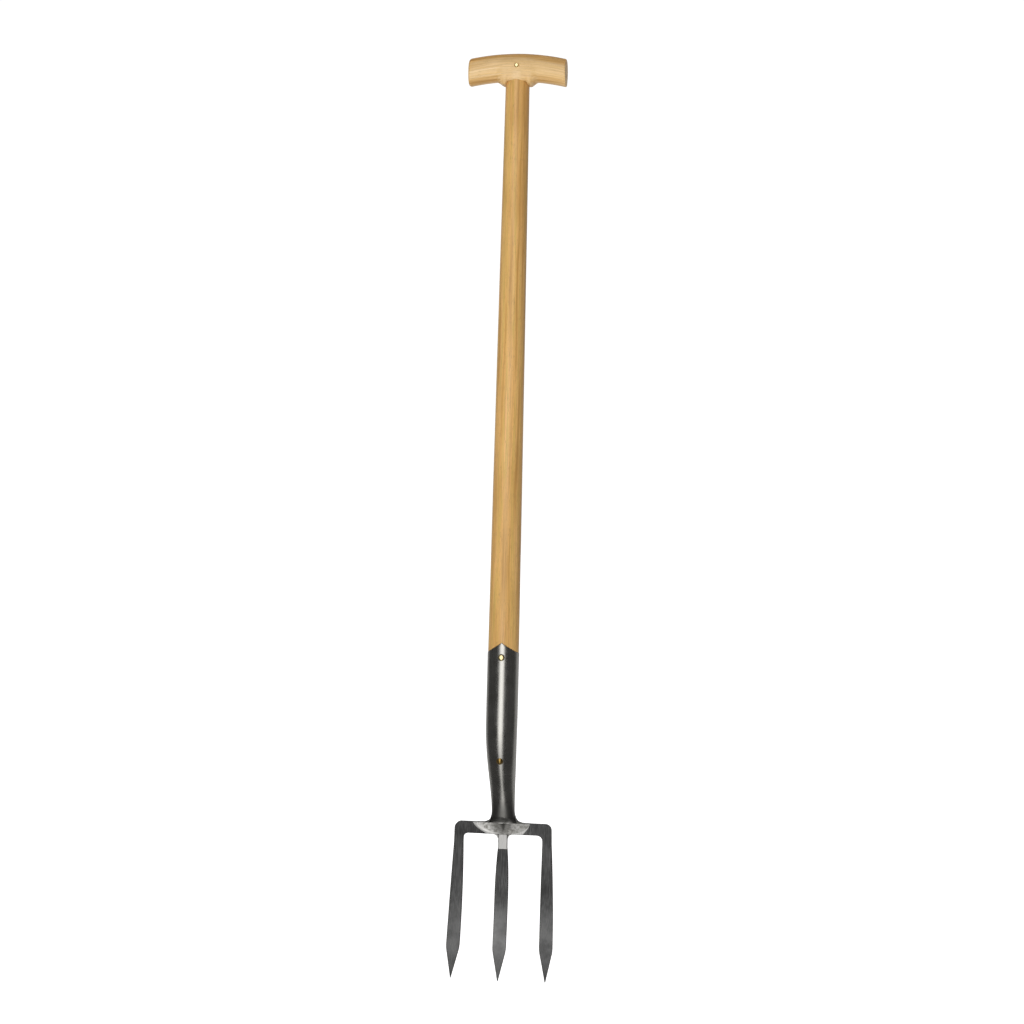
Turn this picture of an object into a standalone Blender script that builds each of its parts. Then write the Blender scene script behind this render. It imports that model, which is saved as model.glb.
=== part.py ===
"""Three-tined fork with a long ash shaft, a T-shaped ash grip and a rolled steel socket.

The fork stands on its tips: +Z is up, -Y is its front, and X runs along the grip and the crossbar.
Lengths are in metres. A height is measured from the tip of the centre tine.
"""

import math

import bmesh
import bpy
from mathutils import Vector

GAP = 0.0003  # between pieces that touch or fit
SHAFT_AXIS_Y = -0.0144  # the shaft's axis, which puts the middle of the whole depth on Y = 0
ROUND_SIDES = 32  # sides of the shaft and the socket
GRIP_SIDES = 44
SMALL_SIDES = 20  # sides of the rivets and the pin
SHARP_ANGLE = math.radians(32)

# Grip: an arched bar with a collar under its middle, where the shaft goes in.
GRIP_LENGTH = 0.1270
GRIP_TOP = 1.2101
GRIP_TOP_FALL = 0.0069  # how much lower the top is at the ends
GRIP_UNDERSIDE = 1.1742  # at the middle, without the collar
GRIP_UNDERSIDE_FALL = 0.0070
GRIP_HALF_DEPTH = 0.0170
GRIP_ROUNDING = 0.0030  # along the edges of the two ends
ROUNDING_STEPS = 3
GRIP_RINGS = 29
RING_MARGIN = 0.0100  # from the grip's ends to the first of those rings
COLLAR_DEPTH = 0.0055
COLLAR_MIDDLE_SHARE = 0.36  # of that depth, in front of the shaft and behind it
COLLAR_EARS = (0.0080, 0.0140, 0.0160)  # where the full depth starts, is reached and ends
COLLAR_FOOT = 0.0275  # from the middle to where the collar has run out into the bar
BAR_SQUARENESS = 2.3  # exponent of the section: 2 is an ellipse, more is fuller in the corners
COLLAR_SQUARENESS = 0.9  # added to it at the collar, below
MIDDLE_SQUARENESS = 2.4  # added to it at the middle, below
COLLAR_BULGE = 0.0010  # added to the half depth at the collar

# Shaft: swelling from the collar to the socket, with a tenon in the grip and a nose in the socket.
SHAFT_SHOULDER = 1.1780
SHAFT_TOP_RADIUS = 0.0155
SHAFT_FOOT_RADIUS = 0.0200
SHAFT_SWELL = 0.0010  # at half its length, over a straight taper
SHAFT_RINGS = 15
SHAFT_RING_MARGIN = 0.0080  # from the socket's peak to the lowest of those rings
TENON_RADIUS = 0.0110
TENON_TOP = 1.2030
TENON_CHAMFER = 0.0012
NOSE_END = 0.2620
NOSE_CHAMFER = 0.0020
PIN_HEIGHT = 1.1925
PIN_RADIUS = 0.0029
PIN_PROUD = 0.0012

# Socket: a steel tube with a pointed front edge, bent back and flattened towards the crossbar.
SOCKET_WALL = 0.0018
SOCKET_HALF_WIDTH = 0.0205
SOCKET_NECK = 0.0151
TAPER_TOP = 0.3650
TAPER_END = 0.2150
TAPER_POWER = 1.4  # above 1 keeps the taper slow at first
EDGE_PEAK = 0.4452
EDGE_DROP = 0.0130  # from the front peak to the sides, which are level with the back
CRANK_TOP = 0.3350  # where the socket starts to bend back
FLATTEN_TOP = 0.2850
FOOT_HALF_DEPTH = (0.0125, 0.0062)  # where the relief starts, and at the crossbar
RELIEF_TOP = 0.2140  # below it the foot's front and back are ground hollow
FOOT_FLARE = 0.0036
FLARE_TOP = 0.2240
FOOT_SQUARENESS = 2.15
STRAIGHT_HEIGHTS = (0.4250, 0.4000, 0.3750, 0.3500)  # of the sections above the bend
BEND_RINGS = 18
RELIEF_RINGS = 5
UPPER_RIVET_HEIGHT = 0.4265
LOWER_RIVET_HEIGHT = 0.2978
RIVET_RADIUS = 0.0025
RIVET_HEAD_RADIUS = 0.0045
RIVET_HEAD_HEIGHT = 0.0019
RIVET_TAIL_RADIUS = 0.0038
RIVET_TAIL_HEIGHT = 0.0013

# Fork head: plate work bent on one arc, whose hollow side is the front. A drop is measured down
# along this arc from the top edge of the crossbar.
BAR_TOP = 0.2055
BAR_SETBACK = 0.0400  # of the crossbar's middle plane behind the shaft's axis
BAR_LEAN = math.radians(3.6)
BEND_RADIUS = 0.6690
BAR_HEIGHT = 0.0150
BAR_HALF_THICKNESS = (0.0050, 0.0042)  # at the middle and at the corners
BAR_THINNING = (0.0200, 0.0450)
OUTER_CORNER_RADIUS = 0.0085
INNER_CORNER_RADIUS = 0.0070
CORNER_STEPS = 6
BAR_STEPS = 6  # along each half of the crossbar
TINE_SPACING = 0.0585  # from the middle to an outer tine's centre line, at its neck
TINE_SPLAY = math.tan(math.radians(1.26))
NECK_DROP = 0.0220
NECK_HALF_WIDTH = 0.0061
BLADE_HALF_WIDTH = 0.0089
NECK_HALF_THICKNESS = 0.0040
BLADE_HALF_THICKNESS = 0.0027
TIP_HALF_THICKNESS = 0.0006
TIP_HALF_WIDTH = 0.0005
POINT_LENGTH = 0.0402
SHOULDER_ROUNDING = 0.0050
SHOULDER_WIDTH_SHARE = 0.985  # of the blade's width, at the rounded shoulder
OUTER_TINE_SHORTER = 0.0016
OUTER_BLADE_START = 0.0270  # drop below which an outer tine widens, as far as its shoulder
CENTRE_BLADE_RANGE = (0.0320, 0.0950)  # drops between which the centre tine widens
EDGE_CHAMFER = 0.0009
TINE_RINGS = 11
POINT_RINGS = 5
FOOT_WELD_TOE = 0.0290
FOOT_WELD_HEIGHT = 0.0095
FOOT_WELD_HALF_THICKNESS = 0.0040
TINE_WELD_RADIUS = 0.0045
TINE_WELD_HALF_THICKNESS = 0.0036
WELD_EDGE = 0.0005  # least thickness at the ends of a weld
WELD_STEPS = 7

TIP_ANGLE = math.asin(math.sin(BAR_LEAN) - BAR_TOP / BEND_RADIUS)
TIP_DROP = (BAR_LEAN - TIP_ANGLE) * BEND_RADIUS


def mix(a, b, t):
    return a + (b - a) * t


def smooth(t):
    """0 below 0, 1 above 1, and a smooth step between."""
    t = min(max(t, 0.0), 1.0)
    return t * t * (3 - 2 * t)


def spaced(start, end, count):
    """The count values from start to end, both included."""
    return [mix(start, end, i / (count - 1)) for i in range(count)]


# ---------------------------------------------------------------- meshes


def loft(mesh, rings, ring_joined=False):
    """Faces from ring to ring. The last ring meets the first one, or both ends are capped."""
    loops = [[mesh.verts.new(point) for point in ring] for ring in rings]
    pairs = list(zip(loops, loops[1:]))
    if ring_joined:
        pairs.append((loops[-1], loops[0]))
    for upper, lower in pairs:
        for i in range(len(upper)):
            j = (i + 1) % len(upper)
            mesh.faces.new((upper[i], upper[j], lower[j], lower[i]))
    if not ring_joined:
        mesh.faces.new(loops[0])
        mesh.faces.new(loops[-1])
    bmesh.ops.recalc_face_normals(mesh, faces=mesh.faces)


def add_piece(name, mesh, finish, parent, location=(0, 0, 0), tilt=0.0):
    """An object from a bmesh. tilt turns it about X, which lowers its front."""
    data = bpy.data.meshes.new(name)
    mesh.to_mesh(data)
    mesh.free()
    data.shade_smooth()
    data.set_sharp_from_angle(angle=SHARP_ANGLE)
    if finish:
        data.materials.append(finish)
    piece = bpy.data.objects.new(name, data)
    bpy.context.scene.collection.objects.link(piece)
    piece.parent = parent
    piece.location = location
    piece.rotation_euler.x = tilt
    return piece


def add_cutter(name, mesh, parent, location=(0, 0, 0), tilt=0.0):
    """A solid that only cuts others."""
    cutter = add_piece(name, mesh, None, parent, location, tilt)
    cutter.hide_render = True
    cutter.display_type = "WIRE"
    return cutter


def cut(piece, *cutters):
    for cutter in cutters:
        boolean = piece.modifiers.new(cutter.name, "BOOLEAN")
        boolean.operation = "DIFFERENCE"
        boolean.solver = "EXACT"
        boolean.object = cutter


def turned(profile, sides, along_y=False):
    """A solid turned about Z, or about Y, from (radius, position) pairs."""
    mesh = bmesh.new()
    rings = []
    for radius, position in profile:
        ring = []
        for i in range(sides):
            angle = 2 * math.pi * i / sides
            a = radius * math.cos(angle)
            b = radius * math.sin(angle)
            ring.append(Vector((a, position, b)) if along_y else Vector((a, b, position)))
        rings.append(ring)
    loft(mesh, rings)
    return mesh


def material(name, colour, roughness, metallic):
    made = bpy.data.materials.new(name)
    made.use_nodes = True
    shader = made.node_tree.nodes["Principled BSDF"]
    shader.inputs["Base Color"].default_value = (*colour, 1.0)
    shader.inputs["Roughness"].default_value = roughness
    shader.inputs["Metallic"].default_value = metallic
    return made


# ---------------------------------------------------------------- socket and shaft shapes


def crank(height):
    """How far the socket's centre line is behind the shaft's axis, and how steeply it goes back."""
    length = CRANK_TOP - BAR_TOP
    t = min(max((CRANK_TOP - height) / length, 0.0), 1.0)
    end_slope = math.tan(BAR_LEAN)
    setback = BAR_SETBACK * t * t * (3 - 2 * t) + length * end_slope * (t**3 - t**2)
    slope = BAR_SETBACK * 6 * t * (1 - t) / length + end_slope * (3 * t * t - 2 * t)
    return setback, slope


def socket_half_width(height):
    t = min(max((TAPER_TOP - height) / (TAPER_TOP - TAPER_END), 0.0), 1.0)
    narrowing = (1 - math.cos(math.pi * t**TAPER_POWER)) / 2
    flare = max((FLARE_TOP - height) / (FLARE_TOP - BAR_TOP), 0.0)
    return mix(SOCKET_HALF_WIDTH, SOCKET_NECK, narrowing) + FOOT_FLARE * flare**2


def socket_section(height):
    """(half width, half depth, squareness) of the socket's outside: round above, flatter below."""
    half_width = socket_half_width(height)
    flatness = smooth((FLATTEN_TOP - height) / (FLATTEN_TOP - RELIEF_TOP))
    half_depth = mix(half_width, FOOT_HALF_DEPTH[0], flatness)
    t = min(max((RELIEF_TOP - height) / (RELIEF_TOP - BAR_TOP), 0.0), 1.0)
    half_depth -= (FOOT_HALF_DEPTH[0] - FOOT_HALF_DEPTH[1]) * (1 - (1 - t) ** 2)
    return half_width, half_depth, mix(2, FOOT_SQUARENESS, flatness)


def socket_ring(height, inset=0.0):
    """The socket's section at a height, square to its centre line, made smaller by inset."""
    setback, slope = crank(height)
    half_width, half_depth, squareness = socket_section(height)
    half_width -= inset
    half_depth -= inset
    power = 2 / squareness
    front = Vector((0, -1, -slope)).normalized()
    centre = Vector((0, setback, height))
    ring = []
    for i in range(ROUND_SIDES):
        angle = 2 * math.pi * i / ROUND_SIDES
        across = math.copysign(abs(math.sin(angle)) ** power, math.sin(angle))
        ahead = math.copysign(abs(math.cos(angle)) ** power, math.cos(angle))
        ring.append(centre + front * half_depth * ahead + Vector((half_width * across, 0, 0)))
    return ring


def edge_ring(radius, lift=0.0):
    """The line of the socket's top edge on a round of this radius, with its peak in front."""
    ring = []
    for i in range(ROUND_SIDES):
        angle = 2 * math.pi * i / ROUND_SIDES
        drop = EDGE_DROP * (abs(math.sin(angle)) if math.cos(angle) > 0 else 1.0)
        place = Vector((radius * math.sin(angle), -radius * math.cos(angle), EDGE_PEAK - drop + lift))
        ring.append(place)
    return ring


def level_ring(radius, height):
    ring = []
    for i in range(ROUND_SIDES):
        angle = 2 * math.pi * i / ROUND_SIDES
        ring.append(Vector((radius * math.sin(angle), -radius * math.cos(angle), height)))
    return ring


def shaft_radius(height):
    t = (SHAFT_SHOULDER - height) / (SHAFT_SHOULDER - EDGE_PEAK)
    return mix(SHAFT_TOP_RADIUS, SHAFT_FOOT_RADIUS, t) + SHAFT_SWELL * t * (1 - t)


def socket_heights(lowest):
    """Section heights from just below the top edge, closer together lower down."""
    return list(STRAIGHT_HEIGHTS) + spaced(CRANK_TOP, lowest, BEND_RINGS)


def shaft_mesh():
    mesh = bmesh.new()
    rings = [
        level_ring(TENON_RADIUS - TENON_CHAMFER, TENON_TOP),
        level_ring(TENON_RADIUS, TENON_TOP - TENON_CHAMFER),
        level_ring(TENON_RADIUS, SHAFT_SHOULDER),
    ]
    for height in spaced(SHAFT_SHOULDER, EDGE_PEAK + SHAFT_RING_MARGIN, SHAFT_RINGS):
        rings.append(level_ring(shaft_radius(height), height))
    # The nose is let in by the thickness of the socket, up to the line of the socket's edge.
    let_in = SOCKET_WALL + GAP
    rings.append(edge_ring(shaft_radius(EDGE_PEAK), GAP))
    rings.append(edge_ring(SOCKET_HALF_WIDTH - let_in, GAP))
    for height in socket_heights(NOSE_END + NOSE_CHAMFER):
        rings.append(socket_ring(height, let_in))
    rings.append(socket_ring(NOSE_END, let_in + NOSE_CHAMFER))
    loft(mesh, rings)
    return mesh


def socket_mesh():
    heights = socket_heights(RELIEF_TOP) + spaced(RELIEF_TOP, BAR_TOP + GAP, RELIEF_RINGS)[1:]
    outer = [edge_ring(SOCKET_HALF_WIDTH)] + [socket_ring(height) for height in heights]
    inner = [socket_ring(height, SOCKET_WALL) for height in reversed(heights)]
    inner.append(edge_ring(SOCKET_HALF_WIDTH - SOCKET_WALL))
    mesh = bmesh.new()
    loft(mesh, outer + inner, ring_joined=True)
    return mesh


# ---------------------------------------------------------------- grip


def grip_section(x, inset):
    """The grip's section at x, made smaller by inset: (half depth, top, underside, fullness below)."""
    run = (x / (GRIP_LENGTH / 2)) ** 2
    start, full, end = COLLAR_EARS
    collar = 1 - smooth((abs(x) - end) / (COLLAR_FOOT - end))
    share = mix(COLLAR_MIDDLE_SHARE, 1.0, smooth((abs(x) - start) / (full - start)))
    top = GRIP_TOP - GRIP_TOP_FALL * run - inset
    underside = GRIP_UNDERSIDE - GRIP_UNDERSIDE_FALL * run - COLLAR_DEPTH * collar * share + inset
    half_depth = GRIP_HALF_DEPTH + COLLAR_BULGE * collar - inset
    middle = 1 - smooth(abs(x) / full)
    fullness = BAR_SQUARENESS + COLLAR_SQUARENESS * collar + MIDDLE_SQUARENESS * middle
    return half_depth, top, underside, fullness


def grip_ring(x, inset=0.0):
    half_depth, top, underside, fullness = grip_section(x, inset)
    middle = (top + underside) / 2
    half_height = (top - underside) / 2
    ring = []
    for i in range(GRIP_SIDES):
        angle = 2 * math.pi * (i + 0.5) / GRIP_SIDES
        power = 2 / mix(BAR_SQUARENESS, fullness, smooth(-math.sin(angle)))
        y = math.copysign(abs(math.cos(angle)) ** power, math.cos(angle)) * half_depth
        z = math.copysign(abs(math.sin(angle)) ** power, math.sin(angle)) * half_height
        ring.append(Vector((x, y, middle + z)))
    return ring


def grip_mesh():
    half = GRIP_LENGTH / 2
    rounding = []
    for step in range(ROUNDING_STEPS + 1):
        angle = math.pi / 2 * step / ROUNDING_STEPS
        x = half - GRIP_ROUNDING * (1 - math.cos(angle))
        rounding.append((x, GRIP_ROUNDING * (1 - math.sin(angle))))
    stations = [(-x, inset) for x, inset in rounding]
    stations += [(x, 0.0) for x in spaced(-half + RING_MARGIN, half - RING_MARGIN, GRIP_RINGS)]
    stations += [(x, inset) for x, inset in reversed(rounding)]
    mesh = bmesh.new()
    loft(mesh, [grip_ring(x, inset) for x, inset in stations])
    return mesh


def mortise_mesh():
    """What the shaft's end takes out of the grip, with room round it."""
    bottom = GRIP_UNDERSIDE - GRIP_UNDERSIDE_FALL - 2 * COLLAR_DEPTH  # clear of the collar
    wide = shaft_radius(SHAFT_SHOULDER) + GAP
    narrow = TENON_RADIUS + GAP
    profile = [
        (wide, bottom),
        (wide, SHAFT_SHOULDER + GAP),
        (narrow, SHAFT_SHOULDER + GAP),
        (narrow, TENON_TOP + GAP),
    ]
    return turned(profile, ROUND_SIDES)


# ---------------------------------------------------------------- pin and rivets


def pin_mesh():
    """A rod across the grip along Y, domed where it stands proud."""
    flat = GRIP_HALF_DEPTH + COLLAR_BULGE
    profile = [
        (PIN_RADIUS * 0.35, flat + PIN_PROUD),
        (PIN_RADIUS * 0.80, flat + PIN_PROUD * 0.70),
        (PIN_RADIUS, flat),
    ]
    return turned([(r, -y) for r, y in profile] + list(reversed(profile)), SMALL_SIDES, along_y=True)


def rivet_mesh(half_width):
    """A rivet along Y across a socket of this half width, with its dome in front at -Y.

    The undersides of the dome and of the tail lie on the round of the socket.
    """
    seat = half_width + GAP
    # Each ring is (radius, how far it stands over the socket's round, end), with end -1 in front.
    outline = [
        (RIVET_HEAD_RADIUS * 0.30, RIVET_HEAD_HEIGHT, -1),
        (RIVET_HEAD_RADIUS * 0.62, RIVET_HEAD_HEIGHT * 0.86, -1),
        (RIVET_HEAD_RADIUS * 0.86, RIVET_HEAD_HEIGHT * 0.58, -1),
        (RIVET_HEAD_RADIUS, RIVET_HEAD_HEIGHT * 0.22, -1),
        (RIVET_HEAD_RADIUS, 0.0, -1),
        (RIVET_RADIUS, 0.0, -1),
        (RIVET_RADIUS, 0.0, 1),
        (RIVET_TAIL_RADIUS, 0.0, 1),
        (RIVET_TAIL_RADIUS, RIVET_TAIL_HEIGHT * 0.45, 1),
        (RIVET_TAIL_RADIUS * 0.70, RIVET_TAIL_HEIGHT, 1),
    ]
    mesh = bmesh.new()
    rings = []
    for radius, over, end in outline:
        ring = []
        for i in range(SMALL_SIDES):
            angle = 2 * math.pi * i / SMALL_SIDES
            x = radius * math.cos(angle)
            # A ring on the socket follows its round, and one high on the dome is nearly flat.
            dip = seat - math.sqrt(seat**2 - x**2)
            flatness = over / RIVET_HEAD_HEIGHT
            y = seat + over - dip * (1 - flatness)
            ring.append(Vector((x, end * y, radius * math.sin(angle))))
        rings.append(ring)
    loft(mesh, rings)
    return mesh


def hole_mesh(radius, half_length):
    """The cutter of a round hole along Y."""
    return turned([(radius, -half_length), (radius, half_length)], SMALL_SIDES, along_y=True)


# ---------------------------------------------------------------- fork head


def head_point(x, drop, back=0.0):
    """A point of the bent head: x across, drop down the arc, and back behind its middle surface."""
    angle = BAR_LEAN - drop / BEND_RADIUS
    y = BAR_SETBACK + BEND_RADIUS * (math.cos(angle) - math.cos(BAR_LEAN)) + back * math.cos(angle)
    z = BAR_TOP - BEND_RADIUS * (math.sin(BAR_LEAN) - math.sin(angle)) + back * math.sin(angle)
    return Vector((x, y, z))


def head_ring(outer, inner, half_thickness):
    """The plate's chamfered section between two (x, drop) points, which are on its edges."""
    outer = Vector(outer)
    inner = Vector(inner)
    width = (outer - inner).length
    chamfer = min(EDGE_CHAMFER, width * 0.25, half_thickness * 0.4)
    inward = (inner - outer).normalized() * chamfer
    deep = half_thickness
    shallow = half_thickness - chamfer
    corners = [
        (outer, -shallow),
        (outer + inward, -deep),
        (inner - inward, -deep),
        (inner, -shallow),
        (inner, shallow),
        (inner - inward, deep),
        (outer + inward, deep),
        (outer, shallow),
    ]
    return [head_point(place.x, place.y, back) for place, back in corners]


def tine_widths(start_drop, full_drop, tip_drop):
    """(drop, half width) down one tine: widening blade, rounded shoulder and point."""
    shoulder = tip_drop - POINT_LENGTH
    widths = []
    for drop in spaced(start_drop, shoulder - SHOULDER_ROUNDING, TINE_RINGS):
        t = min((drop - start_drop) / (full_drop - start_drop), 1.0)
        widths.append((drop, mix(NECK_HALF_WIDTH, BLADE_HALF_WIDTH, 1 - (1 - t) ** 2)))
    widths.append((shoulder, BLADE_HALF_WIDTH * SHOULDER_WIDTH_SHARE))
    for drop in spaced(shoulder + SHOULDER_ROUNDING, tip_drop, POINT_RINGS):
        t = (drop - shoulder) / POINT_LENGTH
        widths.append((drop, mix(BLADE_HALF_WIDTH, TIP_HALF_WIDTH, t)))
    return widths


def tine_half_thickness(drop, tip_drop):
    shoulder = tip_drop - POINT_LENGTH
    if drop < shoulder:
        t = max((drop - NECK_DROP) / (shoulder - NECK_DROP), 0.0)
        return mix(NECK_HALF_THICKNESS, BLADE_HALF_THICKNESS, t)
    return mix(BLADE_HALF_THICKNESS, TIP_HALF_THICKNESS, (drop - shoulder) / POINT_LENGTH)


def bar_half_thickness(x):
    t = smooth((abs(x) - BAR_THINNING[0]) / (BAR_THINNING[1] - BAR_THINNING[0]))
    return mix(*BAR_HALF_THICKNESS, t)


def tine_centre(drop):
    return TINE_SPACING + TINE_SPLAY * (drop - NECK_DROP)


def yoke_half():
    """(outer edge, inner edge, half thickness) from the crossbar's middle to the right tine's tip."""
    outer_x = tine_centre(OUTER_CORNER_RADIUS) + NECK_HALF_WIDTH
    inner_x = tine_centre(NECK_DROP) - NECK_HALF_WIDTH
    outer_start = outer_x - OUTER_CORNER_RADIUS
    inner_start = inner_x - INNER_CORNER_RADIUS
    stations = []
    for step in range(BAR_STEPS):
        t = step / BAR_STEPS
        x = outer_start * t
        stations.append(((x, 0.0), (inner_start * t, BAR_HEIGHT), bar_half_thickness(x)))
    for step in range(CORNER_STEPS + 1):
        angle = math.pi / 2 * step / CORNER_STEPS
        outer = (
            outer_start + OUTER_CORNER_RADIUS * math.sin(angle),
            OUTER_CORNER_RADIUS * (1 - math.cos(angle)),
        )
        inner = (
            inner_start + INNER_CORNER_RADIUS * math.sin(angle),
            BAR_HEIGHT + INNER_CORNER_RADIUS * (1 - math.cos(angle)),
        )
        half_thickness = mix(BAR_HALF_THICKNESS[1], NECK_HALF_THICKNESS, step / CORNER_STEPS)
        stations.append((outer, inner, half_thickness))
    tip_drop = TIP_DROP - OUTER_TINE_SHORTER
    for drop, half_width in tine_widths(OUTER_BLADE_START, tip_drop - POINT_LENGTH, tip_drop):
        centre = tine_centre(drop)
        sides = (centre + half_width, drop), (centre - half_width, drop)
        stations.append((*sides, tine_half_thickness(drop, tip_drop)))
    return stations


def yoke_mesh():
    right = yoke_half()
    left = []
    for outer, inner, half_thickness in reversed(right[1:]):
        left.append(((-outer[0], outer[1]), (-inner[0], inner[1]), half_thickness))
    mesh = bmesh.new()
    loft(mesh, [head_ring(*station) for station in left + right])
    return mesh


def centre_tine_mesh():
    root = BAR_HEIGHT + GAP
    rings = [head_ring((NECK_HALF_WIDTH, root), (-NECK_HALF_WIDTH, root), NECK_HALF_THICKNESS)]
    for drop, half_width in tine_widths(CENTRE_BLADE_RANGE[0], CENTRE_BLADE_RANGE[1], TIP_DROP):
        sides = (half_width, drop), (-half_width, drop)
        rings.append(head_ring(*sides, tine_half_thickness(drop, TIP_DROP)))
    mesh = bmesh.new()
    loft(mesh, rings)
    return mesh


def plate_mesh(outline, half_thickness, side):
    """A plate with this (x, drop) outline, on the left of the fork where side is -1."""
    mesh = bmesh.new()
    rings = []
    for back in (-half_thickness, half_thickness):
        rings.append([head_point(side * x, drop, back) for x, drop in outline])
    loft(mesh, rings)
    return mesh


def foot_weld_outline():
    """A fillet between the side of the socket's foot and the top of the crossbar."""
    top = -FOOT_WELD_HEIGHT
    inner = []
    for drop in spaced(-GAP, top, 4):
        inner.append((socket_half_width(BAR_TOP - drop) + GAP, drop))
    start_x = inner[-1][0] + WELD_EDGE
    outer = []
    for step in range(WELD_STEPS):
        angle = math.pi / 2 * step / (WELD_STEPS - 1)
        x = FOOT_WELD_TOE - (FOOT_WELD_TOE - start_x) * math.cos(angle)
        outer.append((x, mix(top, -GAP - WELD_EDGE, math.sin(angle))))
    return inner + outer + [(FOOT_WELD_TOE, -GAP)]


def tine_weld_outline():
    """A fillet in the corner between the crossbar's lower edge and the root of the centre tine."""
    x = NECK_HALF_WIDTH + GAP
    drop = BAR_HEIGHT + GAP
    reach = TINE_WELD_RADIUS + WELD_EDGE
    curve = []
    for step in range(WELD_STEPS):
        angle = math.pi / 2 * step / (WELD_STEPS - 1)
        across = reach - TINE_WELD_RADIUS * math.sin(angle)
        down = reach - TINE_WELD_RADIUS * math.cos(angle)
        curve.append((x + across, drop + down))
    return [(x, drop), (x + reach, drop)] + curve + [(x, drop + reach)]


# ---------------------------------------------------------------- assembly


def main():
    for piece in list(bpy.data.objects):
        bpy.data.objects.remove(piece)

    grip_ash = material("grip_ash", (0.69, 0.46, 0.23), 0.42, 0.0)
    shaft_ash = material("shaft_ash", (0.57, 0.36, 0.15), 0.42, 0.0)
    socket_steel = material("socket_steel", (0.23, 0.22, 0.21), 0.22, 1.0)
    tine_steel = material("tine_steel", (0.12, 0.12, 0.12), 0.45, 0.9)
    ground_steel = material("ground_steel", (0.55, 0.55, 0.53), 0.35, 1.0)
    brass = material("brass", (0.70, 0.48, 0.16), 0.25, 1.0)

    base = bpy.data.objects.new("shaft_axis", None)
    bpy.context.scene.collection.objects.link(base)
    base.location = (0, SHAFT_AXIS_Y, 0)

    grip = add_piece("t_grip", grip_mesh(), grip_ash, base)
    shaft = add_piece("shaft", shaft_mesh(), shaft_ash, base)
    socket = add_piece("socket", socket_mesh(), socket_steel, base)

    mortise = add_cutter("mortise_cutter", mortise_mesh(), base)
    pin_at = (0, 0, PIN_HEIGHT)
    pin_hole = add_cutter("pin_cutter", hole_mesh(PIN_RADIUS + GAP, GRIP_HALF_DEPTH * 2), base, pin_at)
    add_piece("grip_pin", pin_mesh(), brass, base, pin_at)
    cut(grip, mortise, pin_hole)
    cut(shaft, pin_hole)

    for name, height in (("upper_rivet", UPPER_RIVET_HEIGHT), ("lower_rivet", LOWER_RIVET_HEIGHT)):
        setback, slope = crank(height)
        place = (0, setback, height)
        tilt = math.atan(slope)
        half_width = socket_half_width(height)
        hole = hole_mesh(RIVET_RADIUS + GAP, half_width * 2)
        rivet_hole = add_cutter(name + "_cutter", hole, base, place, tilt)
        add_piece(name, rivet_mesh(half_width), brass, base, place, tilt)
        cut(shaft, rivet_hole)
        cut(socket, rivet_hole)

    add_piece("fork_yoke", yoke_mesh(), tine_steel, base)
    add_piece("centre_tine", centre_tine_mesh(), tine_steel, base)
    for name, side in (("left", -1), ("right", 1)):
        foot_weld = plate_mesh(foot_weld_outline(), FOOT_WELD_HALF_THICKNESS, side)
        add_piece(name + "_foot_weld", foot_weld, ground_steel, base)
        tine_weld = plate_mesh(tine_weld_outline(), TINE_WELD_HALF_THICKNESS, side)
        add_piece(name + "_tine_weld", tine_weld, ground_steel, base)


main()
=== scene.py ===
"""Looks of the three-tined fork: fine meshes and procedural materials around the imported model.

Every piece is built in a frame whose Z axis is the shaft's axis. -Y is the fork's front, and a
height is measured from the tip of the centre tine. Lengths are in metres.
"""

import math

import bmesh
import bpy
from mathutils import Matrix, Vector, noise


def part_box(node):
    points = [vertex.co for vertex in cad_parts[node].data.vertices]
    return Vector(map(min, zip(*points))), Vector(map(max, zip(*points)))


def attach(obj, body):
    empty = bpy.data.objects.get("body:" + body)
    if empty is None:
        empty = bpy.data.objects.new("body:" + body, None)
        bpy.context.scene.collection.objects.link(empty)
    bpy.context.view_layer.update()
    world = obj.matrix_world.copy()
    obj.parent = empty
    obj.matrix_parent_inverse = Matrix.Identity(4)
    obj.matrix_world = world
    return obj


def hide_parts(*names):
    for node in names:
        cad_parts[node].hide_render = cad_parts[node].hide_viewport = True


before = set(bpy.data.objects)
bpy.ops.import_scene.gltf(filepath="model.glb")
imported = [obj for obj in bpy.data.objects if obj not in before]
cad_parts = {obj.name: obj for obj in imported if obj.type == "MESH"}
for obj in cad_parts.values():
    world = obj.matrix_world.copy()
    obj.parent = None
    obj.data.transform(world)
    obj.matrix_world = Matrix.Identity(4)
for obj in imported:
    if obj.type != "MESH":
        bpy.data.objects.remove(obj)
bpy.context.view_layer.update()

grip_low, grip_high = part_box("t_grip")
_, shaft_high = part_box("shaft")
socket_low, socket_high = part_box("socket")
pin_low, pin_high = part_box("grip_pin")
upper_low, upper_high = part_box("upper_rivet")

GAP = 0.0003  # between pieces that touch or fit
FUSED = 0.0003  # how deep welded pieces go into each other
AXIS_Y = (grip_low.y + grip_high.y) / 2  # of the shaft

# Grip
GRIP_HALF_LENGTH = (grip_high.x - grip_low.x) / 2
GRIP_TOP = grip_high.z
GRIP_TOP_FALL = 0.0069  # how much lower the top is at the ends
GRIP_UNDERSIDE = 1.1742  # at the middle, without the collar
GRIP_UNDERSIDE_FALL = 0.0070
GRIP_HALF_DEPTH = 0.0170
LEFT_ROUNDING = 0.0034  # along the edges of the ends
RIGHT_ROUNDING = 0.0012
EVEN_FROM = (0.0060, 0.0040)  # the left and right end, where evenly spaced sections start
END_DISH = 0.0001  # how far the middle of an end face is pressed in
END_FACE_REACH = 0.0110  # how far its rings go in from its rounded edge
GRIP_SIDES = 112
COLLAR_DEPTH = 0.0055
COLLAR_MIDDLE_SHARE = 0.36  # of that depth, in front of the shaft and behind it
COLLAR_EARS = (0.0110, 0.0150, 0.0165)  # where the depth starts to grow, is full, and starts to fall
COLLAR_FOOT = 0.0275  # where the collar runs out
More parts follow.
